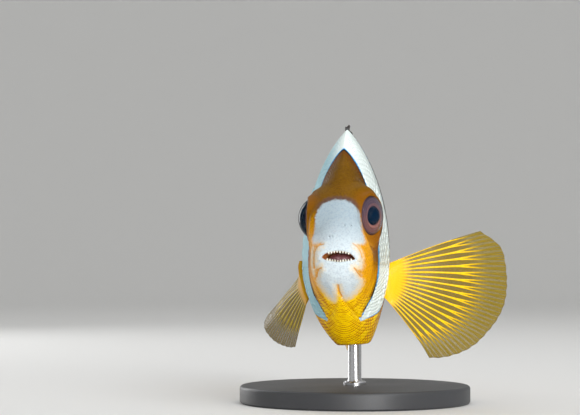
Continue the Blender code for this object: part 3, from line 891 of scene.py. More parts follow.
@dataclass(frozen=True)
class EyeFinish:
    """The iris with its rings and the dark pupil, by the distance from the eye's axis."""

    pupil_radius: float = 2.0
    upper: Colour = srgb(74, 62, 76)
    lower: Colour = srgb(110, 70, 64)
    ring: Colour = srgb(116, 92, 104)
    inner_ring: Colour = srgb(158, 108, 98)
    outer_ring: Colour = srgb(52, 40, 50)
    fleck: Colour = srgb(50, 38, 46)
    pupil: Colour = srgb(2, 26, 48)
    turn_span: Span = (-0.9, 0.7)
    ring_span: Span = (-0.2, 0.9)
    inner_ring_out: float = 0.35
    inner_ring_width: float = 0.42
    inner_ring_turn: Span = (0.4, -0.9)
    outer_ring_span: Span = (3.2, 3.95)
    fleck_noise: Span = (0.05, 0.35)

    def dressed(self) -> Material:
        """The finished material."""
        graph = Graph("iris")
        ring, turn, pupil = graph.attribute("iris")
        grain, fine = graph.noise(1.5), graph.noise(6.0)
        rings = (ring * 13.0 + 2.2 * grain).wave()
        colour = graph.mix(turn.fade(*self.turn_span), self.lower, self.upper)
        colour = graph.mix(rings.fade(*self.ring_span) * 0.5, colour, self.ring)
        inner = (ring + 0.2 * grain).band(self.pupil_radius + self.inner_ring_out, self.inner_ring_width)
        inner = inner * (0.35 + turn.fade(*self.inner_ring_turn) * 0.45)
        colour = graph.mix(inner, colour, self.inner_ring)
        outer = (ring + 0.15 * grain).fade(*self.outer_ring_span) * 0.6
        colour = graph.mix(outer, colour, self.outer_ring)
        colour = graph.mix(fine.fade(*self.fleck_noise) * 0.3, colour, self.fleck)
        colour = graph.mix(pupil.fade(0.4, 0.6), colour, self.pupil)
        plain = pupil.fade(0.6, 0.4)
        rough = (0.35 + 0.2 * fine) * plain + 0.08 * (1.0 - plain)
        height = (rings * 0.25 + fine * 0.4) * plain
        return graph.finished(colour, {"Specular IOR Level": 0.08}, height, (0.00012, 0.6), roughness=rough)


@dataclass(frozen=True)
class CorneaFinish:
    """The eye's clear wet front, with painted shade: where it is looked along it turns to a nearly opaque
    dark navy, the more the higher its dome.
    """

    name: str
    # How nearly the cornea must be looked along for the painted shade to set in.
    thick: Span
    clear: Colour = (0.97, 0.97, 0.97)
    gloss: Colour = (1.0, 1.0, 1.0)
    # The painted shade's dark navy.
    tint: Colour = srgb(3, 24, 42)
    rim: Colour = srgb(14, 12, 18)
    rim_edge: Span = (3.92, 4.1)
    rim_share: float = 0.9
    edge_on_shade_share: float = 0.97
    gloss_shares: Span = (0.004, 0.75)

    def dressed(self) -> Material:
        """The finished material."""
        graph = Graph(self.name)
        clear = graph.node("BsdfTransparent", None, {0: self.clear})
        gloss = graph.node("BsdfGlossy", None, {"Color": self.gloss, "Roughness": 0.05})
        facing = Signal(graph, graph.node("LayerWeight", None, {"Blend": 0.5}).outputs["Facing"])
        ring, _, _ = graph.attribute("iris")
        at_rim = ring.fade(*self.rim_edge)
        colour = graph.mix(at_rim, self.tint, self.rim)
        dark = graph.surface(colour, {"Roughness": 0.2, "Specular IOR Level": 0.0})
        # Painted shade: the dark navy is mixed in where the cornea is looked along, with the dark rim at its
        # edge.
        held = (at_rim * self.rim_share).most(facing.fade(*self.thick) * self.edge_on_shade_share)
        glass = graph.node("MixShader", None, {0: held, 1: clear.outputs[0], 2: dark})
        steep = facing * facing
        least, more = self.gloss_shares
        share = least + more * steep * steep * steep
        whole = graph.node("MixShader", None, {0: share, 1: glass.outputs[0], 2: gloss.outputs[0]})
        return graph.done(whole.outputs[0])


@dataclass(frozen=True)
class MouthFinish:
    """The wet tongue, or the teeth."""

    name: str
    base: Colour
    deep: Colour
    roughness: float = 0.3

    def dressed(self) -> Material:
        """The finished material."""
        graph = Graph(self.name)
        grain, fine = graph.noise(2.2), graph.noise(9.0, 2.0)
        colour = graph.mix((grain + 0.5).fade(0.3, 0.75), self.base, self.deep)
        shine = {"Coat Weight": 0.5, "Coat Roughness": 0.1}
        rough = self.roughness + 0.2 * fine
        return graph.finished(colour, shine, fine + grain, (0.0001, 0.7), roughness=rough)


@dataclass(frozen=True)
class PaintFinish:
    """The base's dark satin paint, with a fine grain and paler clouds."""

    colour: Colour = srgb(52, 53, 56)
    pale: Colour = srgb(70, 71, 74)

    def dressed(self) -> Material:
        """The finished material."""
        graph = Graph("base_paint")
        where = graph.own_place()
        grain, cloud = graph.noise(2600.0, 2.0, where), graph.noise(70.0, 3.0, where)
        colour = graph.mix((cloud + 0.5).fade(0.3, 0.7) * 0.3, self.colour, self.pale)
        rough = 0.46 + 0.16 * cloud + 0.1 * grain
        return graph.finished(colour, {"Specular IOR Level": 0.5}, grain, (0.00003, 0.5), roughness=rough)


@dataclass(frozen=True)
class SteelFinish:
    """The rod's steel, brushed round it."""

    colour: Colour = (0.62, 0.62, 0.64)
    dull: Colour = (0.42, 0.42, 0.44)
    brushing: Place = (60, 60, 5200)

    def dressed(self) -> Material:
        """The finished material."""
        graph = Graph("rod_steel")
        brush = graph.noise(1.0, 3.0, graph.own_place(), self.brushing)
        colour = graph.mix((brush + 0.5).fade(0.2, 0.8) * 0.35, self.colour, self.dull)
        return graph.finished(colour, {"Metallic": 1.0}, brush, (0.00001, 0.4), roughness=0.26 + 0.2 * brush)


@dataclass(frozen=True)
class FloorFinish:
    """The studio's plain pale floor."""

    colour: Colour = (0.76, 0.76, 0.75)

    def dressed(self) -> Material:
        """The finished material."""
        graph = Graph("floor")
        return graph.done(graph.surface(self.colour, {"Roughness": 0.85, "Specular IOR Level": 0.2}))


# ---- Putting meshes together ----


def placed(name: str, data: Any) -> Piece:
    """A new object of a mesh, a light or a camera, in the scene."""
    made = bpy.data.objects.new(name, data)
    bpy.context.scene.collection.objects.link(made)
    return made


def meshed(name: str, bm: Shape, material: Material) -> Piece:
    """Makes a smooth object from a bmesh, which is freed.

    Args:
        name: The object's name.
        bm: Its shape.
        material: Its finish.

    Returns:
        The object.
    """
    mesh = bpy.data.meshes.new(name)
    bm.to_mesh(mesh)
    bm.free()
    mesh.materials.append(material)
    mesh.shade_smooth()
    return placed(name, mesh)


def built(
    name: str, bm: Shape, material: Material, replaces: tuple[str, ...] = ()
) -> Piece:
    """Makes a piece of the fish or the stand from a bmesh.

    Args:
        name: The piece's name.
        bm: Its shape, which is freed.
        material: Its finish.
        replaces: The CAD nodes that it stands for.

    Returns:
        The object.
    """
    piece = meshed(name, bm, material)
    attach(piece, "root")
    if replaces:
        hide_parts(*replaces)
    log.info("%s: %d vertices, %d faces", name, len(piece.data.vertices), len(piece.data.polygons))
    return piece


def thickened(bm: Shape) -> None:
    """Gives a flat shape a second face, 1 above the first, and sides."""
    grown = bmesh.ops.extrude_face_region(bm, geom=list(bm.faces), use_keep_orig=True)["geom"]
    moved = [item for item in grown if isinstance(item, bmesh.types.BMVert)]
    bmesh.ops.translate(bm, verts=moved, vec=(0, 0, 1))


def turned(
    profile: Sequence[Span], segments: int, merge: float, axis: Place = (0, 0, 1)
) -> Shape:
    """A body of revolution from a profile of (radius, height) points.

    Args:
        profile: The points, in order.
        segments: The steps round the axis.
        merge: How near points have to be to become one.
        axis: The way of the heights, which is up or along x.

    Returns:
        The shape.
    """
    bm = bmesh.new()
    upright = axis[2] == 1
    verts = [bm.verts.new((r, 0.0, height) if upright else (height, r, 0.0)) for r, height in profile]
    edges = [bm.edges.new(pair) for pair in zip(verts, verts[1:])]
    bmesh.ops.spin(
        bm, geom=[*verts, *edges], axis=axis, cent=(0, 0, 0), angle=math.tau, steps=segments,
        use_merge=True, use_duplicate=False,
    )
    bmesh.ops.remove_doubles(bm, verts=bm.verts, dist=merge)
    bmesh.ops.recalc_face_normals(bm, faces=bm.faces)
    return bm


def coordinates(bm: Shape) -> Array:
    """The places of a bmesh's vertices, one to a row."""
    return np.array([vertex.co for vertex in bm.verts], float).reshape(-1, 3)


def place_all(bm: Shape, points: Array) -> None:
    """Moves every vertex of a bmesh to its row of the points."""
    for vertex, point in zip(bm.verts, points):
        vertex.co = point


def pose(bm: Shape, points: Array) -> None:
    """Moves a shape's vertices to their points on the posed fish and turns its faces outwards."""
    place_all(bm, BODY.posed(points))
    bmesh.ops.recalc_face_normals(bm, faces=bm.faces)


def note(piece: Piece, **fields: Array) -> None:
    """Stores three numbers for each vertex of a piece, under each field's name."""
    for name, values in fields.items():
        layer = piece.data.attributes.new(name, "FLOAT_VECTOR", "POINT")
        layer.data.foreach_set("vector", np.ascontiguousarray(values, np.float32).ravel())


# ---- The skin ----


@dataclass(frozen=True)
class Fold:
    """A fold or groove along a line on the head.

    Its width grows from the line's start to its end by the flare. Its height is below 0 for a groove.
    """

    line: Line
    width: float
    height: float
    look: Look = Look.AHEAD
    reach: tuple[float, float] = (-1.0, 11.0)
    both: bool = False
    tinted: bool = False
    flare: float = 1.0
    start_fade: float = 0.6
    end_fade: float = 0.8

    def bell(self, points: Array) -> Array:
        """How strongly the fold shows at each point, from 0 to 1."""
        flat = points[:, self.look.value].copy()
        if self.both and self.look is Look.AHEAD:
            flat[:, 0] = np.abs(flat[:, 0])
        near, far = self.reach
        along = points[:, 1]
        shown = fade(along, near, near + self.start_fade) * (1 - fade(along, far, far + self.end_fade))
        distance, share = beside_line(flat, self.line)
        return hump(distance, self.width * (1 + (self.flare - 1) * share)) * shown


@dataclass(frozen=True)
class Mouth:
    """The mouth's opening, as heights of its upper and lower edge across it, and its lips."""

    upper: Line = (
        (-3.55, -0.2), (-3.2, 0.3), (-2.0, 0.8), (-0.1, 1.02), (1.6, 0.82), (2.6, 0.3), (3.3, -0.5),
    )
    lower: Line = (
        (-3.55, -0.25), (-2.8, -0.62), (-1.25, -0.86), (0.0, -0.98), (1.3, -0.86), (2.6, -0.72),
        (3.3, -0.55),
    )
    lip_roll: float = 0.42
    lip_height: float = 0.07
    lip_crest: Span = (0.75, 0.5)
    lip_groove: float = 0.03
    lip_crease: Span = (1.7, 0.3)
    lining_depth: float = 5.4
    lining_taper: Span = (0.42, 0.45)

    def rolled(self, from_edge: Array, lining: Array) -> Array:
        """How far back the lips turn in, by the distance from the opening's edge."""
        roll = np.clip(1 - from_edge / self.lip_roll, 0, 1)
        turned = self.lip_roll * (1 - np.sqrt(1 - roll**2))
        return np.where(lining > 0, self.lip_roll, turned)

    def lip(self, from_edge: Array) -> Array:
        """How far the lips stand out, by the distance from the opening's edge."""
        (crest, wide), (crease, narrow) = self.lip_crest, self.lip_crease
        swell = self.lip_height * hump(from_edge - crest, wide)
        swell -= self.lip_groove * hump(from_edge - crease, narrow)
        roll = np.clip(1 - from_edge / (2 * self.lip_roll), 0, 1)
        return swell * (1 - roll) ** 0.5

    def inside(self, x: Array, height: Array) -> Array:
        """Whether points seen from ahead lie in the opening."""
        across = (x > self.upper[0][0]) & (x < self.upper[-1][0])
        return across & (height < Curve(self.upper)(x)) & (height > Curve(self.lower)(x))


@dataclass
class Skin:
    """The whole body's closed skin: a ball whose rings run from inside the mouth to the tail's root."""

    around: int = 288
    lining_rings: int = 14
    lip_end: float = 4.0
    lip_rings: int = 30
    lip_crowding: float = 1.35
    tries: int = 400
    smoothings: int = 4
    steps: Line = ((12.0, 0.2), (30.0, 0.3), (92.0, 0.75))
    cap_rings: int = 3
    cap_step: float = 0.1
    under_coat: float = 0.12
    socket_depth: float = 2.6
    socket_step: float = 0.3
    socket_lip: Span = (3.7, 4.25)
    socket_wall: Span = (2.9, 3.7)
    eye_folds: tuple[Place, ...] = ((0.22, 4.5, 0.3), (-0.12, 5.3, 0.35), (0.1, 6.0, 0.4))
    mouth: Mouth = field(default_factory=Mouth)
    nostrils: Line = ((-2.07, 4.15), (-1.43, 4.15), (1.05, 6.4), (2.4, 6.4))
    nostril_radius: float = 0.17
    nostril_depth: float = 0.3
    nostril_lip: Place = (0.04, 0.4, 0.15)
    nostril_back: float = 9.0
    nostril_dark: float = 0.07
    folds: tuple[Fold, ...] = (
        Fold(
            ((-3.3, 2.7), (-4.2, 2.45), (-4.85, 1.7), (-5.25, 0.8), (-5.4, -0.4), (-5.45, -2.4)),
            0.15, -0.28, tinted=True, flare=1.5,
        ),
        Fold(((-5.6, 1.9), (-5.85, 0.65), (-5.9, -0.5), (-5.85, -2.2), (-5.3, -3.8)), 0.34, 0.3),
        Fold(((-4.5, 2.1), (-4.9, 1.0), (-5.0, -0.4), (-4.9, -1.8)), 0.45, 0.22),
        Fold(((2.9, 2.85), (3.9, 2.1), (4.6, 1.1), (4.95, -0.2)), 0.12, -0.3, tinted=True, flare=1.6),
        Fold(((2.7, 2.2), (3.5, 1.4), (4.0, 0.3), (4.1, -0.6)), 0.45, 0.2),
        Fold(((3.4, -0.55), (4.5, -1.35)), 0.2, -0.16),
        Fold(((-3.6, -0.25), (-4.5, -0.9)), 0.2, -0.14),
        Fold(
            ((-3.7, -2.35), (-4.5, -2.7), (-4.85, -3.45), (-5.05, -4.3)), 0.12, -0.28, tinted=True, flare=2.0,
        ),
        Fold(((3.1, -2.35), (3.75, -3.2), (4.5, -4.3)), 0.12, -0.28, tinted=True, flare=2.0),
        Fold(((-3.4, -3.1), (-3.9, -4.0), (-3.7, -5.4)), 0.7, 0.18),
        Fold(((2.9, -3.2), (3.4, -4.2), (3.2, -5.4)), 0.7, 0.18),
        Fold(((-0.4, -6.2), (-0.3, -7.3), (0.3, -8.6)), 0.32, -0.45, tinted=True, flare=0.6),
        Fold(((-2.2, -5.6), (-1.2, -7.6)), 0.8, 0.2),
        Fold(((1.6, -5.6), (1.3, -7.6)), 0.8, 0.2),
        Fold(((-2.6, -10.25), (-1.0, -10.2)), 0.18, -0.2, tinted=True, reach=(4.0, 14.0)),
        Fold(((0.5, -9.2), (1.6, -10.6), (2.8, -12.2), (3.6, -13.3)), 0.3, -0.26, reach=(6.0, 18.0)),
        Fold(((-1.4, -10.6), (-2.4, -12.0), (-3.0, -13.0)), 0.4, -0.14, reach=(6.0, 18.0)),
        Fold(((0.2, -10.5), (1.2, -12.6)), 0.7, 0.18, reach=(6.0, 18.0), both=True),
        Fold(
            ((19.4, 9.2), (17.2, 3.0), (16.6, -3.0), (17.8, -8.5), (20.6, -12.2)), 0.5, -0.3,
            Look.ASIDE, (10.0, 24.0),
        ),
        Fold(((18.2, 8.0), (16.2, 2.0), (15.6, -3.0), (16.6, -8.0)), 1.2, 0.22, Look.ASIDE, (10.0, 24.0)),
        Fold(
            ((26.2, 16.0), (27.0, 9.0), (27.4, 1.0), (26.2, -6.5), (24.4, -10.4)), 0.4, -0.5,
            Look.ASIDE, (14.0, 30.0),
        ),
        Fold(
            ((25.2, 14.0), (26.0, 8.0), (26.3, 1.0), (25.1, -6.0), (23.4, -9.8)), 0.8, 0.28,
            Look.ASIDE, (14.0, 30.0),
        ),
    )

    def rings(self) -> tuple[Array, Array]:
        """The rings' places.

        Returns:
            For each ring from the mouth back, its place behind the lips, and its share of the way from the
            mouth's opening to the end of the lips' field, which is 1 behind that and below 0 in the lining.
        """
        lining = np.linspace(-1, 0, self.lining_rings, endpoint=False)[1:]
        lips = np.linspace(0, 1, self.lip_rings, endpoint=False) ** self.lip_crowding
        places, near = [], self.lip_end
        for end, step in self.steps:
            count = round((end - near) / step)
            places.append(np.linspace(near, end, count, endpoint=False))
            near = end
        behind = np.concatenate([*places, [near], near + self.cap_step * np.arange(1, self.cap_rings + 1)])
        along = np.concatenate([np.full(len(lining) + len(lips), self.lip_end), behind])
        share = np.concatenate([lining, lips, np.ones(len(behind))])
        return along, share

    def opening(self, lap: Array) -> Array:
        """The place behind the lips at which each lap of the skin meets the mouth's opening."""
        tries = np.linspace(0.0, self.lip_end, self.tries)
        grid_along, grid_lap = np.meshgrid(tries, lap, indexing="ij")
        points = BODY.surface(grid_along.ravel(), grid_lap.ravel())
        inside = self.mouth.inside(points[:, 0], points[:, 2]).reshape(grid_along.shape)
        found = tries[np.minimum(np.argmin(inside, axis=0), len(tries) - 1)]
        for _ in range(self.smoothings):
            found = 0.25 * np.roll(found, -1) + 0.5 * found + 0.25 * np.roll(found, 1)
        return found

    def laid_out(self) -> tuple[Array, Array, Array]:
        """The skin before its relief.

        Returns:
            The points by ring and lap, the distance of each from the mouth's edge, and the lining's share.
        """
        lap = np.arange(self.around) / self.around
        start = self.opening(lap)
        along, share = self.rings()
        lips = start + (self.lip_end - start) * np.maximum(share, 0)[:, None]
        place = np.where(share[:, None] < 1, lips, along[:, None])
        laps = np.broadcast_to(lap, place.shape)
        length = BODY.length
        points = BODY.surface(np.minimum(place, length).ravel(), laps.ravel()).reshape(*place.shape, 3)
        beyond = np.maximum(0, place - length)
        shrink = 1 - beyond / (self.cap_step * (self.cap_rings + 1))
        centre = points[..., 2].mean(axis=1, keepdims=True)
        points[..., 0] *= shrink
        points[..., 2] = centre + (points[..., 2] - centre) * shrink
        lining = share < 0
        rim = points[np.count_nonzero(lining)]
        inward = np.maximum(0, -share)[:, None]
        depth = rim[None, :, 1] + self.mouth.lining_depth * inward
        early, late = self.mouth.lining_taper
        spread = 1 - early * inward - late * inward**3
        for axis in (0, 2):
            points[lining, :, axis] = (rim[None, :, axis] * spread)[lining]
        points[lining, :, 1] = depth[lining]
        from_edge = np.linalg.norm(points - rim[None], axis=2)
        return points, from_edge, np.broadcast_to(inward, from_edge.shape)

    def relief(self, points: Array, from_edge: Array, lining: Array) -> tuple[Array, Array]:
        """The head's forms.

        Args:
            points: The skin's points, one to a row.
            from_edge: Each point's distance from the mouth's edge.
            lining: Each point's share of the way down the mouth's lining.

        Returns:
            How far each point is raised, and how deep it lies in a tinted groove, from 0 to 1.
        """
        raised = np.full(len(points), -self.under_coat)
        groove = np.zeros(len(points))
        lips = (points[:, 1] < self.lip_end + 2) & (lining <= 0)
        raised += np.where(lips, self.mouth.lip(from_edge), 0)
        for fold in self.folds:
            bell = fold.bell(points) * (lining <= 0)
            raised += fold.height * bell
            if fold.tinted:
                groove = np.maximum(groove, bell)
        lip, out, wide = self.nostril_lip
        for away in self.from_nostrils(points):
            pit = lip * hump(away - out, wide) - self.nostril_depth * hump(away, self.nostril_radius)
            raised += pit * (points[:, 1] < self.nostril_back)
        eye = BODY.eye_distance(points)
        socket = -self.socket_step * (1 - fade(eye, *self.socket_lip))
        socket -= (self.socket_depth - self.socket_step) * (1 - fade(eye, *self.socket_wall))
        ring = sum(height * hump(eye - out, wide) for height, out, wide in self.eye_folds)
        raised += np.where(points[:, 1] < BODY.eye_field, socket + ring, 0)
        return raised, groove

    def from_nostrils(self, points: Array) -> list[Array]:
        """How far points seen from ahead lie from each nostril."""
        return [np.hypot(points[:, 0] - x, points[:, 2] - height) for x, height in self.nostrils]

    def build(self, finish: HideFinish) -> Piece:
        """Builds the skin.

        Args:
            finish: The hide's finish.

        Returns:
            The skin, which stands for every CAD node of flesh.
        """
        points, from_edge, lining = self.laid_out()
        count = len(points)
        raised, groove = self.relief(points.reshape(-1, 3), from_edge.ravel(), lining.ravel())
        across = np.roll(points, -1, axis=1) - np.roll(points, 1, axis=1)
        normal = unit(np.cross(np.gradient(points, axis=0), across))
        outward = points + normal * raised.reshape(count, -1, 1) * (lining <= 0)[..., None]
        outward[..., 1] += self.mouth.rolled(from_edge, lining)
        bm = bmesh.new()
        bmesh.ops.create_uvsphere(bm, u_segments=self.around, v_segments=count + 1, radius=1.0)
        ball = coordinates(bm)
        ring = np.rint(np.arccos(np.clip(ball[:, 2], -1, 1)) / np.pi * (count + 1)).astype(int) - 1
        turn = np.mod(np.arctan2(ball[:, 1], ball[:, 0]), 2 * np.pi) / (2 * np.pi)
        lap = np.rint(turn * self.around).astype(int) % self.around
        held = np.clip(ring, 0, count - 1)
        flat = outward[held, lap]
        flat[ring < 0] = outward[0].mean(axis=0) + (0, 2 * self.cap_step, 0)
        flat[ring >= count] = outward[-1].mean(axis=0) + (0, self.cap_step, 0)
        pose(bm, flat)
        piece = built(
            "skin", bm, finish.dressed(),
            ("head", "lower_jaw", "gill_cover_left", "gill_cover_right", "trunk", "tail_stalk"),
        )
        eye = BODY.eye_share(flat)
        for away in self.from_nostrils(flat):
            beside = (away < 3 * self.nostril_radius) & (flat[:, 1] < self.nostril_back)
            eye = np.where(beside, np.maximum(0, away - self.nostril_dark) / BODY.eye_ring, eye)
        detail = np.stack((eye, groove[held * self.around + lap], lining[held, lap]), 1)
        note(piece, place=flat, marks=MARKINGS.fields(flat), detail=detail)
        return piece


# ---- The scales ----


@dataclass
class ScaleCoat:
    """Overlapping scales over the skin, in rows that narrow towards the head and the tail."""

    rows: int = 86
    start: float = 7.5
    end: float = 91.0
    fine: bool = False
    throat: float = -8.5
    overlap: float = 1.75
    step: float = 0.86
    rim_sides: int = 10
    thickness: float = 0.05
    lift: float = 0.11
    dome: float = 0.05
    root_dip: float = 0.16
    usual_half: float = 0.6
    side_lap: float = 1.12
    root_shift: float = 0.55
    shown: float = 0.62
    bare_patch: float = -0.5
    bare_eye: float = 7.0
    bare_mouth: Span = (5.0, 9.0)
    dash_beats: Span = (12, 10)
    patch_size: float = 0.003
    patch_margin: float = 0.02

    def tile(self) -> Shape:
        """One scale as a closed disc, 1 from its middle to its rim and 1 thick."""
        bm = bmesh.new()
        bmesh.ops.create_circle(bm, cap_ends=True, cap_tris=True, segments=self.rim_sides, radius=1.0)
        thickened(bm)
        bmesh.ops.recalc_face_normals(bm, faces=bm.faces)
        return bm

    def stations(self) -> Array:
        """The places of the rings of scales, each a share of the local scale width behind the last."""
        places = [self.start]
        lap = np.arange(self.rows) / self.rows
        while places[-1] < self.end:
            ring = BODY.surface(np.full(self.rows, places[-1]), lap)
            width = np.linalg.norm(np.roll(ring, -1, axis=0) - ring, axis=1).mean()
            places.append(places[-1] + width * self.step)
        return np.array(places)

    def fine_zone(self, points: Array) -> Array:
        """Whether each point lies on the forehead or a cheek, where the scales are smaller."""
        return (points[:, 1] < MARKINGS.bar_front(points[:, 2])) & (points[:, 2] > self.throat)

    def roots(self) -> tuple[Array, Array]:
        """Where the scales grow.

        Returns:
            The place and the lap of each scale.
        """
        places = self.stations()
        along = np.repeat(places, self.rows)
        offset = np.repeat(0.5 * (np.arange(len(places)) % 2), self.rows)
        lap = (np.tile(np.arange(self.rows), len(places)) + offset) / self.rows
        points = BODY.surface(along, lap)
        by_eye = (BODY.eye_distance(points) < self.bare_eye) & (along < BODY.eye_field)
        height, back = self.bare_mouth
        by_mouth = (np.abs(points[:, 2]) < height) & (along < back)
        keep = (MARKINGS.fields(points)[:, 0] < self.bare_patch) & ~by_eye & ~by_mouth
        keep &= self.fine_zone(points) == self.fine
        return along[keep], lap[keep]

    def dashes(self, along: Array, lap: Array) -> Array:
        """How dark each scale's rim is, from 0 to 1. Some rings are darker, in broken lines."""
        _, ring = np.unique(along, return_inverse=True)
        chance = np.random.default_rng(self.rows)
        tone, turn, beat = chance.random((3, ring.max() + 1))
        least, more = self.dash_beats
        wave = np.sin(math.tau * (lap * np.rint(least + more * beat)[ring] + turn[ring]))
        return np.clip(0.5 + 0.5 * (2 * tone[ring] - 1) + 0.4 * wave, 0, 1)

    def laid(self, along: Array, lap: Array, shape: Array, skin: Skin) -> Array:
        """Lays scales on the skin.

        Args:
            along: The places of their roots.
            lap: The laps of their roots.
            shape: The tile's points.
            skin: The skin, whose relief they follow.

        Returns:
            Every scale's points, one to a row.
        """
        tiny, turn = 0.12, 0.5 / self.rows
        back = BODY.surface(along + tiny, lap) - BODY.surface(along - tiny, lap)
        around = BODY.surface(along, lap + turn) - BODY.surface(along, lap - turn)
        half = np.linalg.norm(around, axis=1) / 2
        around = unit(around)
        back = unit(back - around * np.sum(back * around, axis=1, keepdims=True))
        x, y, layer = shape.T
        tail = np.clip((y + 1) / 2, 0, 1)
        rise = self.lift * tail[None, :] ** 1.5 * (half / self.usual_half)[:, None]
        rise = rise + self.dome * (1 - np.hypot(x, y) ** 2)
        rise = rise + (layer * self.thickness) - self.root_dip * (1 - tail) ** 2
        sideways = x[None, :] * half[:, None] * self.side_lap
        backward = (y[None, :] + self.root_shift) * (half * self.overlap)[:, None] * self.shown
        points = BODY.surface(along, lap)[:, None] + around[:, None] * sideways[..., None]
        flat = (points + back[:, None] * backward[..., None]).reshape(-1, 3)
        sink, _ = skin.relief(flat, np.full(len(flat), np.inf), np.zeros(len(flat)))
        laps = (lap[:, None] + sideways / np.maximum(half, 1e-6)[:, None] / 2 / self.rows).ravel()
        beneath = BODY.surface(np.clip(flat[:, 1], 0.5, BODY.length), laps)
        out = np.repeat(np.cross(back, around), len(x), axis=0)
        return beneath + out * (sink + rise.ravel())[:, None]

    def lay_out(self, bm: Shape, along: Array, lap: Array, shape: Array) -> None:
        """Gives each scale, by its root's place and lap, its own small patch of the OFBake map."""
        uv = bm.loops.layers.uv.new("OFBake")
        spread = 1 - 2 * self.patch_margin
        root = self.patch_margin + spread * np.stack((along / BODY.length, np.mod(lap, 1.0)), 1)
        patch = (root[:, None] + shape[None, :, :2] * self.patch_size / 2).reshape(-1, 2)
        bm.verts.index_update()
        for face in bm.faces:
            for loop in face.loops:
                loop[uv].uv = patch[loop.vert.index]

    def build(self, name: str, laps: Span, skin: Skin, finish: HideFinish) -> Piece:
        """Builds one field of scales.

        Args:
            name: The piece's name.
            laps: Where the field starts and ends round the body, from 0 to 1.
            skin: The skin they lie on, whose relief they follow.
            finish: The hide's finish.

        Returns:
            The piece.
        """
        along, lap = self.roots()
        own = (np.mod(lap, 1.0) >= laps[0]) & (np.mod(lap, 1.0) < laps[1])
        along, lap = along[own], lap[own]
        tile = self.tile()
        shape = coordinates(tile)
        mesh = bpy.data.meshes.new("tile")
        tile.to_mesh(mesh)
        tile.free()
        bm = bmesh.new()
        for _ in along:
            bm.from_mesh(mesh)
        bpy.data.meshes.remove(mesh)
        flat = self.laid(along, lap, shape, skin)
        place_all(bm, BODY.posed(flat))
        self.lay_out(bm, along, lap, shape)
        piece = built(name, bm, finish.dressed())
        rim = np.hypot(shape[:, 0], shape[:, 1]) * np.clip((shape[:, 1] + 1) / 2, 0, 1)
        dash = np.repeat(self.dashes(along, lap), len(shape))
        detail = np.stack((BODY.eye_share(flat), dash, np.tile(rim, len(along))), 1)
        note(piece, place=flat, marks=MARKINGS.fields(flat), detail=detail)
        return piece


# ---- The fins ----


@dataclass(kw_only=True)
class Fin:
    """A fin: rays that branch outwards, joined by a thin membrane. Its lines go by shares of its spread.

    Each kind of fin has a root, a tip and a bow method: where rays start and end and how their middles bow.
    """

    name: str
    rays: int
    per_ray: int = 14
    steps: int = 56
    notch: float = 0.035
    membrane: float = 0.09
    ray_height: float = 0.13
    ray_width: Span = (0.34, 0.07)
    branching: Span = (0.35, 0.8)
    forks: Span = (0.24, 0.11)
    second_fork: Span = (-0.12, 0.25)
    thinning: float = 0.7
    root_height: float = 0.8
    root_reach: float = 0.16
    root_end: float = 0.03
    edge_reach: float = 0.02
    edge_share: float = 0.15
    sunk: float = 0.05
    ripple: float = 0.25
    ripple_turns: float = 1.4

    def sway(self, share: Array) -> Array:
        """How far the rays' middles sway to the side, in a wave over the fin."""
        return self.ripple * np.sin(share * math.tau * self.ripple_turns)

    def ray_shape(self, share: Array, out: Array) -> Array:
        """How much of each point is ray, from 0 on the membrane to 1 on a ray's crest."""
        column = share * (self.rays - 1)
        away = np.abs(column - np.rint(column))
        first = self.forks[0] * fade(out, *self.branching)
        early, late = self.second_fork
        second = self.forks[1] * fade(out, self.branching[1] + early, self.branching[1] + late)
        nearest = np.abs(np.abs(away - first) - second)
        wide, narrow = self.ray_width
        width = wide + (narrow - wide) * fade(out, 0.0, self.branching[1])
        return np.clip(1 - (nearest / width) ** 2, 0, 1)

    def sheet(self, share: Array, out: Array) -> Array:
        """Points of the fin's middle sheet, whose edge is notched between the rays."""
        reach = 1 - self.notch * np.abs(np.sin(np.pi * share * (self.rays - 1))) ** 1.5
        along = (out * (1 + self.sunk) - self.sunk) * reach
        root, tip, bow = self.root(share), self.tip(share), self.bow(share)
        return root + (tip - root) * along[:, None] + bow * (4 * along * (1 - along))[:, None]

    def thickness(self, share: Array, out: Array, ray: Array) -> Array:
        """How thick the fin is: rays on a membrane, a swelling at the root and a thin edge."""
        beyond_root = fade(out, 0.6 * self.root_reach, 1.4 * self.root_reach)
        thick = self.membrane + self.ray_height * ray * (1 - self.thinning * out) * beyond_root
        swell = np.sin(np.pi * np.clip(share, self.root_end, 1 - self.root_end)) ** 0.5
        thick += self.root_height * (1 - fade(out, 0.0, self.root_reach)) * swell
        rim = np.minimum(1 - out, np.minimum(share, 1 - share) * 6)
        return thick * np.minimum(1, rim / self.edge_reach + self.edge_share)

    def build(self, material: Material, slot: Slot) -> Piece:
        """Builds the fin as a closed sheet whose rays stand proud on both faces.

        Args:
            material: The fin's finish.
            slot: The record's slot for it; not used.

        Returns:
            The piece.
        """
        bm = bmesh.new()
        columns = (self.rays - 1) * self.per_ray
        bmesh.ops.create_grid(bm, x_segments=columns, y_segments=self.steps, size=0.5)
        thickened(bm)
        grid = coordinates(bm)
        share, out, face = grid[:, 0] + 0.5, grid[:, 1] + 0.5, np.where(grid[:, 2] > 0.5, 1.0, -1.0)
        small = 1e-3
        across = self.sheet(np.minimum(1, share + small), out)
        across = across - self.sheet(np.maximum(0, share - small), out)
        outward = self.sheet(share, np.minimum(1, out + small))
        outward = outward - self.sheet(share, np.maximum(0, out - small))
        ray = self.ray_shape(share, out)
        half = face * self.thickness(share, out, ray) / 2
        flat = self.sheet(share, out) + unit(np.cross(across, outward)) * half[:, None]
        pose(bm, flat)
        piece = built(f"{self.name}_rayed", bm, material, (self.name,))
        note(piece, place=flat, fan=np.stack((share, out, ray), 1))
        return piece


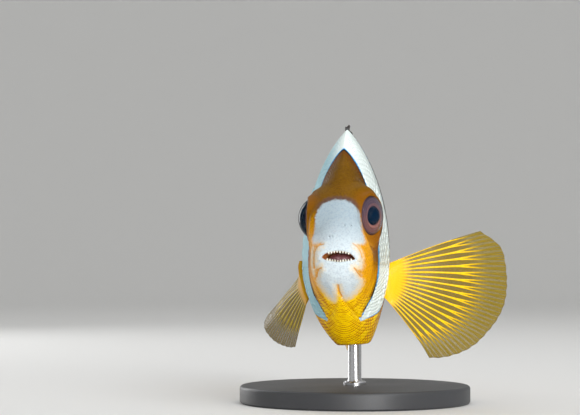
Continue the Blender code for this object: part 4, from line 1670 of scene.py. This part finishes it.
@dataclass(kw_only=True)
class MedianFin(Fin):
    """A fin on the back or the belly line, with its rays' heights and their rake in degrees."""

    start: float
    end: float
    heights: Line
    rake: Span
    upright: int = 1
    root_height: float = 1.2
    root_reach: float = 0.2
    sunk: float = 0.12
    clear: float = 0.45
    ray_bow: Span = (0.04, 0.03)

    def root(self, share: Array) -> Array:
        """The rays' roots, on the back or under the belly."""
        along = self.start + (self.end - self.start) * share
        height = BODY.underside(along) if self.upright < 0 else Curve(BODY.back_line)(along)
        return np.stack((np.zeros_like(along), along, height + self.upright * self.clear), 1)

    def tip(self, share: Array) -> Array:
        """The rays' tips, by their heights and rake."""
        tilt = np.radians(self.rake[0] + self.rake[1] * share)
        way = np.stack((np.zeros_like(tilt), np.sin(tilt), self.upright * np.cos(tilt)), 1)
        return self.root(share) + Curve(self.heights)(share)[:, None] * way

    def bow(self, share: Array) -> Array:
        """How far the rays' middles bow, forwards and out."""
        height = Curve(self.heights)(share)
        forward, out = self.ray_bow
        return np.stack((self.sway(share), -forward * height, self.upright * out * height), 1)


@dataclass(kw_only=True)
class CaudalFin(Fin):
    """The tail fin."""

    name: str = "fin_caudal"
    rays: int = 15
    per_ray: int = 16
    steps: int = 60
    root_height: float = 3.2
    root_reach: float = 0.3
    sunk: float = 0.1
    length: float = 22.0
    fork: float = 2.6
    spread: float = 15.0
    fanning: float = 0.46
    rounding: float = 0.42
    flare: float = 1.2
    inset: float = 0.5
    gap: float = 0.3

    def ends(self) -> Span:
        """The heights of the tail root's top and foot."""
        at = np.array([BODY.length])
        top = float(Curve(BODY.back_line)(at)[0]) - self.inset
        return top, float(BODY.underside(at)[0]) + self.inset

    def root(self, share: Array) -> Array:
        """The rays' roots, down the end of the tail's root."""
        top, foot = self.ends()
        along = np.full_like(share, BODY.length + self.gap)
        return np.stack((np.zeros_like(share), along, top + (foot - top) * share), 1)

    def tip(self, share: Array) -> Array:
        """The rays' tips, on a rounded edge with a shallow fork."""
        out = 1 - 2 * share
        length = self.length - self.fork * np.maximum(0, np.cos(out * math.pi / 2)) ** 1.5
        top, foot = self.ends()
        height = (top + foot) / 2 + self.spread * np.sin(out * math.pi * self.fanning)
        along = BODY.length + length * np.cos(out * self.rounding)
        return np.stack((np.zeros_like(share), along, height), 1)

    def bow(self, share: Array) -> Array:
        """How far the rays' middles bow, up and down."""
        return np.stack((self.sway(share), np.zeros_like(share), self.flare * (1 - 2 * share)), 1)


@dataclass(kw_only=True)
class PectoralFin(Fin):
    """A fin behind a gill cover. The left one is spread wide and the right one swept back."""

    side: Side
    rise: Line
    sweep: Line
    arc: Place
    rays: int = 19
    per_ray: int = 16
    steps: int = 72
    notch: float = 0.006
    ray_height: float = 0.2
    ray_width: Span = (0.3, 0.1)
    branching: Span = (0.5, 0.8)
    root_height: float = 1.7
    root_reach: float = 0.2
    sunk: float = 0.06
    readings: int = 60
    back: float = 25.6
    top: float = -1.2
    foot: float = -9.6
    root_back: Span = (3.6, -1.2)
    lengths: Line = ((0, 21.0), (0.15, 25.5), (0.4, 26.5), (0.7, 23.5), (0.9, 19.0), (1, 16.0))
    clear: float = 0.65

    def root_line(self, share: Array) -> tuple[Array, Array]:
        """The places and the heights of the rays' roots."""
        first, last = self.root_back
        return self.back + first + last * share, self.top + (self.foot - self.top) * share

    def root(self, share: Array) -> Array:
        """The rays' roots, beside the body, whose half width is read at a few of them."""
        few = np.linspace(0, 1, self.readings)
        wide = np.interp(share, few, BODY.half_width_at(*self.root_line(few)))
        return np.stack((self.side.value * (wide + self.clear), *self.root_line(share)), 1)

    def tip(self, share: Array) -> Array:
        """The rays' tips, by their lengths and by their rise and sweep in degrees."""
        up, back = np.radians(Curve(self.rise)(share)), np.radians(Curve(self.sweep)(share))
        way = np.stack((np.cos(up) * np.cos(back), np.cos(up) * np.sin(back), np.sin(up)), 1)
        return self.root(share) + way * Curve(self.lengths)(share)[:, None] * (self.side.value, 1, 1)

    def bow(self, share: Array) -> Array:
        """How far the rays' middles bow, each alike."""
        return np.ones((len(share), 1)) * (self.side.value * self.arc[0], self.arc[1], self.arc[2])


@dataclass(kw_only=True)
class PelvicFin(Fin):
    """A fin under the breast, folded back along it."""

    side: Side
    rays: int = 6
    per_ray: int = 18
    steps: int = 50
    ray_height: float = 0.2
    branching: Span = (0.3, 0.7)
    root_height: float = 0.1
    back: float = 35.5
    root_turns: Line = ((0, -0.76), (1, -0.88))
    tip_turns: Line = ((0, -0.74), (1, -0.93))
    lengths: Line = ((0, 15.0), (0.3, 20.0), (0.7, 17.0), (1, 12.0))
    arc: float = 0.25
    clear: float = 0.22

    def beside(self, along: Array, turns: Line, share: Array) -> Array:
        """Points beside the skin, square to its section.

        Args:
            along: Their places behind the lips.
            turns: Their turns round the section, by share.
            share: Their shares.

        Returns:
            The points.
        """
        turn = Curve(turns)(share)
        x, height = BODY.section(along, turn)
        above_x, above_height = BODY.section(along, turn + 0.01)
        edge = unit(np.stack((above_x - x, above_height - height), 1))
        beside, above = x + edge[:, 1] * self.clear, height - edge[:, 0] * self.clear
        return np.stack((self.side.value * beside, along, above), 1)

    def root(self, share: Array) -> Array:
        """The rays' roots, in a row across the breast."""
        return self.beside(np.full_like(share, self.back), self.root_turns, share)

    def tip(self, share: Array) -> Array:
        """The rays' tips, behind their roots."""
        return self.beside(self.back + Curve(self.lengths)(share), self.tip_turns, share)

    def bow(self, share: Array) -> Array:
        """How far the rays' middles bow, each alike."""
        return np.ones((len(share), 1)) * (self.side.value * self.arc, 0.0, -self.arc)


@dataclass
class Fins:
    """Every fin, with its finish."""

    yellow: FinFinish = FinFinish(
        "yellow_fin", srgb(244, 200, 0), srgb(128, 104, 2), srgb(136, 114, 10), srgb(252, 190, 0),
        clear=0.24, rim_clear=0.48,
    )
    # Painted shade: a darker copy of the yellow finish, for the right pectoral fin.
    right_fin_painted_shade: FinFinish = FinFinish(
        "painted_shade_fin", srgb(190, 164, 4), srgb(128, 106, 6), srgb(122, 100, 20), srgb(220, 160, 6),
        clear=0.22, rim_clear=0.5,
    )
    plain: FinFinish = FinFinish(
        "plain_fin", srgb(240, 190, 14), srgb(236, 190, 60), srgb(238, 196, 70), srgb(240, 172, 8),
        clear=0.3, rim_clear=0.35, rim_start=0.95,
    )
    dark: FinFinish = FinFinish(
        "dark_fin", srgb(40, 26, 16), srgb(30, 18, 12), srgb(150, 84, 16), srgb(18, 12, 12),
        clear=0.12, rim_clear=0.2, rim_start=0.965,
    )

    def median(self) -> list[Fin]:
        """The spiny and the soft fin on the back and the fin under the tail."""
        spiny = MedianFin(
            name="fin_dorsal_spiny", rays=10, start=31.0, end=60.6, rake=(78, -22), notch=0.14,
            heights=((0, 1.6), (0.15, 2.6), (0.4, 4.2), (0.8, 6.0), (1, 6.2)), branching=(2.0, 3.0),
            ray_width=(0.16, 0.08), ray_height=0.42, root_height=1.3, root_reach=0.24, sunk=0.25,
        )
        soft = MedianFin(
            name="fin_dorsal_soft", rays=15, start=60.0, end=81.0, rake=(54, 14),
            heights=((0, 7.4), (0.3, 11.6), (0.6, 13.6), (0.85, 11.0), (1, 6.4)),
        )
        anal = MedianFin(
            name="fin_anal", rays=14, start=59.0, end=78.5, rake=(46, 20), upright=-1,
            heights=((0, 5.5), (0.25, 9.0), (0.6, 11.4), (0.85, 9.8), (1, 5.6)),
        )
        return [spiny, soft, anal]

    def build(self) -> None:
        """Builds the fins."""
        left = PectoralFin(
            name="fin_pectoral_left", side=Side.LEFT, arc=(0.5, -1.0, 0.5),
            rise=((0, 19), (1, -58)), sweep=((0, 14), (1, 20)),
        )
        right = PectoralFin(
            name="fin_pectoral_right", side=Side.RIGHT, arc=(-0.2, 0.0, 0.7),
            rise=((0, -20), (0.3, -16), (0.7, -27), (1, -38)),
            sweep=((0, 92), (0.15, 87), (0.3, 76), (0.6, 63), (1, 68)),
        )
        dark, plain = self.dark.dressed(), self.plain.dressed()
        spiny, soft, anal = self.median()
        for fin in (spiny, soft):
            fin.build(dark, Slot.DARK_FIN)
        for fin in (anal, CaudalFin()):
            fin.build(plain, Slot.YELLOW_FIN)
        left.build(self.yellow.dressed(), Slot.YELLOW_FIN)
        # The right pectoral fin takes the darker copy, painted shade.
        right.build(self.right_fin_painted_shade.dressed(), Slot.YELLOW_FIN)
        for side in Side:
            PelvicFin(name=f"fin_pelvic_{side.label}", side=side).build(plain, Slot.YELLOW_FIN)


# ---- Eyes, tongue and teeth ----


@dataclass
class Eye:
    """One eyeball with its iris and lens, under a clear cornea. Heights are above the rim's plane."""

    side: Side
    radius: float = 4.0
    pupil_radius: float = 1.98
    pupil_point: float = 0.14
    point_way: float = 205.0
    point_reach: float = 1.6
    pupil_margin: float = 0.04
    pupil_fade: float = 0.08
    gaze: float = 5.0
    segments: int = 96
    ball_steps: int = 64
    cornea_steps: int = 28
    cornea_heights: Span = (1.3, 2.1)
    cornea_thickness: float = 0.05
    cornea_overlap: float = 0.02
    # Each cornea's span for its painted shade, by how nearly it is looked along.
    corneas: tuple[CorneaFinish, CorneaFinish] = (
        CorneaFinish("low_cornea", (0.68, 0.94)), CorneaFinish("high_cornea", (0.3, 0.52)),
    )
    ball: Line = (
        (0.0, 1.45), (0.7, 1.38), (1.3, 1.12), (1.75, 0.72), (1.95, 0.4), (2.02, 0.33), (2.12, 0.42),
        (2.4, 0.44), (2.8, 0.36), (3.2, 0.28), (3.6, 0.16), (3.9, 0.02), (4.04, -0.14), (3.98, -0.6),
        (3.4, -1.5), (2.2, -2.1), (0.0, -2.4),
    )

    def set_in(self, bm: Shape) -> Array:
        """Moves a shape to the eye's place, bends it to the pose and returns its straight points."""
        place = BODY.eye(self.side)
        points = coordinates(bm) * (self.side.value, 1, 1)
        gaze = place.turn + (self.gaze if self.side is Side.LEFT else 0.0)
        turn = Matrix.Rotation(math.radians(-self.side.value * gaze), 3, "Z")
        points = points @ np.array(turn).T + (self.side.value * place.out, place.back, place.up)
        pose(bm, points)
        return points

    def smooth_profile(self) -> Line:
        """The eyeball's rounded profile, by its length."""
        points = np.array(self.ball)
        length = np.concatenate(([0], np.cumsum(np.linalg.norm(np.diff(points, axis=0), axis=1))))
        at = np.linspace(0, length[-1], self.ball_steps)
        radius, height = (Curve(tuple(zip(length, points[:, axis])))(at) for axis in (0, 1))
        radius[0] = radius[-1] = 0.0
        return tuple(zip(radius.tolist(), height.tolist()))

    def eyeball(self, iris: Material) -> Piece:
        """Builds the eyeball, whose pupil is drawn out to a blunt point."""
        bm = turned(self.smooth_profile(), self.segments, 1e-5, (1, 0, 0))
        points = coordinates(bm)
        angle = np.arctan2(points[:, 2], points[:, 1])
        point = self.pupil_point * np.maximum(0, np.cos(angle - math.radians(self.point_way))) ** 4
        away = np.abs(np.hypot(points[:, 1], points[:, 2]) - self.pupil_radius)
        stretch = 1 + point * np.clip(self.point_reach - away, 0, 1)
        points[:, 1] *= stretch
        points[:, 2] *= stretch
        place_all(bm, points)
        straight = self.set_in(bm)
        piece = built(f"eyeball_{self.side.label}", bm, iris, (f"eye_{self.side.label}",))
        ring = np.hypot(points[:, 1], points[:, 2])
        edge = self.pupil_radius * (1 + point) + self.pupil_margin
        pupil = np.where(points[:, 0] > 0, fade(edge - ring, -self.pupil_fade, self.pupil_fade), 0)
        note(piece, place=straight, iris=np.stack((ring, np.sin(angle), pupil), 1))
        return piece

    def cornea(self) -> Piece:
        """Builds the cornea, a thin clear cap of a ball."""
        own = 0 if self.side is Side.LEFT else 1
        rise = self.cornea_heights[own]
        outside = (self.radius**2 + rise**2) / (2 * rise)
        reach = math.asin(min(1, (self.radius + self.cornea_overlap) / outside))
        angles = np.linspace(0, reach, self.cornea_steps)
        base = rise - outside
        outer = [(outside * math.sin(a), base + outside * math.cos(a)) for a in angles]
        inside = outside - self.cornea_thickness
        inner = [(inside * math.sin(a), base + inside * math.cos(a)) for a in angles[::-1]]
        outer[0], inner[-1] = (0.0, outer[0][1]), (0.0, inner[-1][1])
        dome = turned([*outer, *inner], self.segments, 1e-5, (1, 0, 0))
        local = coordinates(dome)
        places = self.set_in(dome)
        piece = built(f"cornea_{self.side.label}", dome, self.corneas[own].dressed())
        ring = np.hypot(local[:, 1], local[:, 2])
        note(piece, place=places, iris=np.stack((ring, local[:, 0], np.zeros(len(ring))), 1))
        return piece

    def build(self, iris: Material) -> None:
        """Builds the eyeball and its cornea."""
        self.eyeball(iris)
        self.cornea()


@dataclass
class MouthParts:
    """The tongue on the mouth's floor and two rows of small pointed teeth."""

    mouth: Mouth = field(default_factory=Mouth)
    flesh: MouthFinish = MouthFinish("tongue", srgb(108, 60, 64), srgb(76, 40, 48))
    enamel: MouthFinish = MouthFinish("teeth", srgb(240, 240, 228), srgb(220, 216, 196), 0.25)
    tongue_centre: Place = (0.2, 2.6, -0.75)
    tongue_radii: Place = (2.5, 2.1, 1.5)
    furrow_depth: float = 0.08
    furrow_width: float = 0.18
    lump_height: float = 0.02
    tooth_radius: float = 0.24
    tooth_height: float = 0.46
    tooth_tip: float = 0.1
    tooth_root: float = 0.1
    tooth_sizes: Span = (0.85, 1.15)
    tooth_tilt: float = 8.0
    tooth_sunk: float = 0.04
    upper_teeth: tuple[float, float, int] = (-2.1, 2.0, 8)
    lower_teeth: tuple[float, float, int] = (-2.4, 2.5, 10)
    set_back: float = 0.3
    row_curve: float = 0.07

    def tongue(self) -> Piece:
        """Builds the tongue, with a shallow furrow and a lumpy surface."""
        bm = bmesh.new()
        bmesh.ops.create_uvsphere(bm, u_segments=64, v_segments=40, radius=1.0)
        points = coordinates(bm)
        furrow = 1 - self.furrow_depth * hump(points[:, 0], self.furrow_width) * (points[:, 2] > 0)
        lumps = 1 + self.lump_height * np.sin(9 * points[:, 0] + 2) * np.sin(8 * points[:, 1])
        points = points * np.array(self.tongue_radii) * (furrow * lumps)[:, None] + self.tongue_centre
        place_all(bm, BODY.posed(points))
        piece = built("tongue_flesh", bm, self.flesh.dressed(), ("tongue",))
        note(piece, place=points)
        return piece

    def teeth(self) -> Piece:
        """Builds both rows of teeth as one piece."""
        bm = bmesh.new()
        rng = np.random.default_rng(7)
        for (first, last, count), edge, way in (
            (self.upper_teeth, self.mouth.upper, -1), (self.lower_teeth, self.mouth.lower, 1),
        ):
            for x in np.linspace(first, last, count):
                height = float(Curve(edge)(x)) - way * self.tooth_sunk
                size = float(rng.uniform(*self.tooth_sizes))
                set_in = Matrix.Translation((x, self.set_back + self.row_curve * x * x, height))
                lean = way * float(rng.uniform(-self.tooth_tilt, self.tooth_tilt))
                tilt = Matrix.Rotation(math.radians(90 - way * 90 + lean), 4, "Y")
                lengthen = Matrix.Translation((0, 0, self.tooth_height * size / 2 - self.tooth_root))
                bmesh.ops.create_cone(
                    bm, cap_ends=True, segments=10, radius1=self.tooth_radius * size, radius2=self.tooth_tip,
                    depth=self.tooth_height * size, matrix=set_in @ tilt @ lengthen,
                )
        points = coordinates(bm)
        pose(bm, points)
        piece = built("teeth", bm, self.enamel.dressed())
        note(piece, place=points)
        return piece

    def build(self) -> None:
        """Builds the tongue and the teeth."""
        self.tongue()
        self.teeth()


# ---- Stand and studio ----


@dataclass
class Stand:
    """The round base and its rod, turned on a lathe to the CAD's sizes, in metres."""

    segments: int = 160
    edge: float = 0.0007
    edge_steps: int = 7
    collar_height: float = 0.0009
    collar_width: float = 0.0011
    collar_round: float = 0.0003
    fillet: float = 0.0002
    sharp: float = 35.0

    def base_profile(self, radius: float, top: float) -> list[Span]:
        """The base's profile, rounded at its top edge and bevelled at its foot."""
        corner = [
            (radius - self.edge * (1 - math.sin(a)), top - self.edge * (1 - math.cos(a)))
            for a in np.linspace(0, math.pi / 2, self.edge_steps)
        ]
        foot = [(radius, self.edge * 0.6), (radius - self.edge * 0.6, 0.0), (0.0, 0.0)]
        return [(0.0, top), *corner, *foot]

    def rod_profile(self, rod: float, low: float, high: float, top: float) -> list[Span]:
        """The rod's profile with the collar at its foot.

        Args:
            rod: The rod's radius.
            low: The height of its foot.
            high: The height of its head.
            top: The height of the base.

        Returns:
            The profile.
        """
        wide, tall = rod + self.collar_width, self.collar_height
        return [
            (0.0, high), (rod * 0.8, high), (rod, high - rod * 0.2), (rod, top + tall * 1.6),
            (rod + self.fillet, top + tall), (wide - self.collar_round, top + tall),
            (wide, top + tall * 0.7), (wide, top), (rod, top), (rod, low), (0.0, low),
        ]

    def build(self) -> None:
        """Builds the base and the rod."""
        low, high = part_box("stand_base")
        rod_low, rod_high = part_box("stand_rod")
        base = self.base_profile((high.x - low.x) / 2, high.z)
        rod = self.rod_profile((rod_high.x - rod_low.x) / 2, rod_low.z, rod_high.z, high.z)
        parts = (("stand_base", base, PaintFinish()), ("stand_rod", rod, SteelFinish()))
        for node, profile, finish in parts:
            shape = turned(profile, self.segments, 1e-7)
            piece = built(f"{node}_turned", shape, finish.dressed(), (node,))
            piece.data.set_sharp_from_angle(angle=math.radians(self.sharp))


@dataclass(frozen=True)
class SoftLight:
    """A flat soft light: its place from the mouth, its width and height, its power and what it faces."""

    name: str
    place: Place
    size: Span
    watts: float
    facing: Place = (0, 0, 0)

    def build(self, mouth: Vector) -> None:
        """Builds the light."""
        data = bpy.data.lights.new(self.name, "AREA")
        data.shape = "RECTANGLE"
        data.size, data.size_y = self.size
        data.energy = self.watts
        lamp = placed(self.name, data)
        place, target = mouth + Vector(self.place), mouth + Vector(self.facing)
        lamp.location = place
        lamp.rotation_mode = "QUATERNION"
        lamp.rotation_quaternion = (target - place).to_track_quat("-Z", "Y")


@dataclass
class Studio:
    """A pale floor that curves up all round, five soft lights and the camera. Sizes are in metres."""

    floor_radius: float = 0.9
    curve_radius: float = 0.6
    wall_height: float = 1.4
    floor_segments: int = 96
    lens_ratio: float = 3.3793
    sensor: float = 36.0
    distance: float = 0.400
    azimuth: float = 3.4
    aim: Span = (0.02485, 0.025)
    surroundings: float = 0.62
    lights: tuple[SoftLight, ...] = (
        SoftLight("key", (0.32, -0.42, 0.34), (0.3, 0.3), 1.8),
        SoftLight("fill", (-0.5, -0.4, 0.2), (0.5, 0.5), 0.15),
        SoftLight("low", (0.16, -0.44, -0.03), (0.16, 0.16), 2.6, (0, 0, -0.01)),
        SoftLight("top", (0.0, 0.25, 0.6), (0.5, 0.5), 0.8),
        SoftLight("edge", (-0.34, 0.38, 0.03), (0.12, 0.5), 1.1),
    )

    def floor(self) -> None:
        """Builds the floor and its curved surround as one spun sheet."""
        curve = [
            (self.floor_radius + self.curve_radius * math.sin(a), self.curve_radius * (1 - math.cos(a)))
            for a in np.linspace(0.1, math.pi / 2, 14)
        ]
        end = (self.floor_radius + self.curve_radius, self.wall_height)
        bm = turned([(0.0, 0.0), (self.floor_radius, 0.0), *curve, end], self.floor_segments, 1e-6)
        bmesh.ops.reverse_faces(bm, faces=bm.faces)
        meshed("floor", bm, FloorFinish().dressed())

    def camera(self, mouth: Vector) -> None:
        """The camera, which looks at the fish's face from a little to its left."""
        data = bpy.data.cameras.new("camera")
        data.sensor_width = self.sensor
        data.lens = self.sensor * self.lens_ratio
        data.clip_start = 0.01
        data.clip_end = 10.0
        camera = placed("camera", data)
        azimuth = math.radians(self.azimuth)
        camera.location = mouth + self.distance * Vector((math.sin(azimuth), -math.cos(azimuth), 0))
        right, up = (math.atan(slope) for slope in self.aim)
        camera.rotation_euler = (math.pi / 2 + up, 0, azimuth + right)
        bpy.context.scene.camera = camera

    def build(self) -> None:
        """Builds the floor, lights, surroundings and camera."""
        self.floor()
        mouth = Vector(BODY.posed(np.zeros((1, 3)))[0])
        for light in self.lights:
            light.build(mouth)
        world = bpy.data.worlds.new("studio")
        world.use_nodes = True
        background = world.node_tree.nodes["Background"]
        background.inputs["Color"].default_value = (1.0, 1.0, 1.0, 1.0)
        background.inputs["Strength"].default_value = self.surroundings
        bpy.context.scene.world = world
        bpy.context.scene.view_settings.view_transform = "Standard"
        self.camera(mouth)
        log.info("studio: %d lights", len(self.lights))


def main() -> None:
    """Builds every sub-assembly in order."""
    logging.basicConfig(level=logging.INFO, format="%(message)s")
    skin, scales = Skin(), HideFinish("scales", scaled=True)
    skin.build(HideFinish())
    face = ScaleCoat(rows=126, start=7.0, end=20.0, fine=True, lift=0.08, dome=0.03)
    face.build("scales_face", (0.0, 1.0), skin, scales)
    flanks = ScaleCoat()
    flanks.build("scales_left", (0.0, 0.5), skin, scales)
    flanks.build("scales_right", (0.5, 1.0), skin, scales)
    Fins().build()
    iris = EyeFinish().dressed()
    for side in Side:
        Eye(side).build(iris)
    MouthParts().build()
    Stand().build()
    Studio().build()


if __name__ == "__main__":
    main()
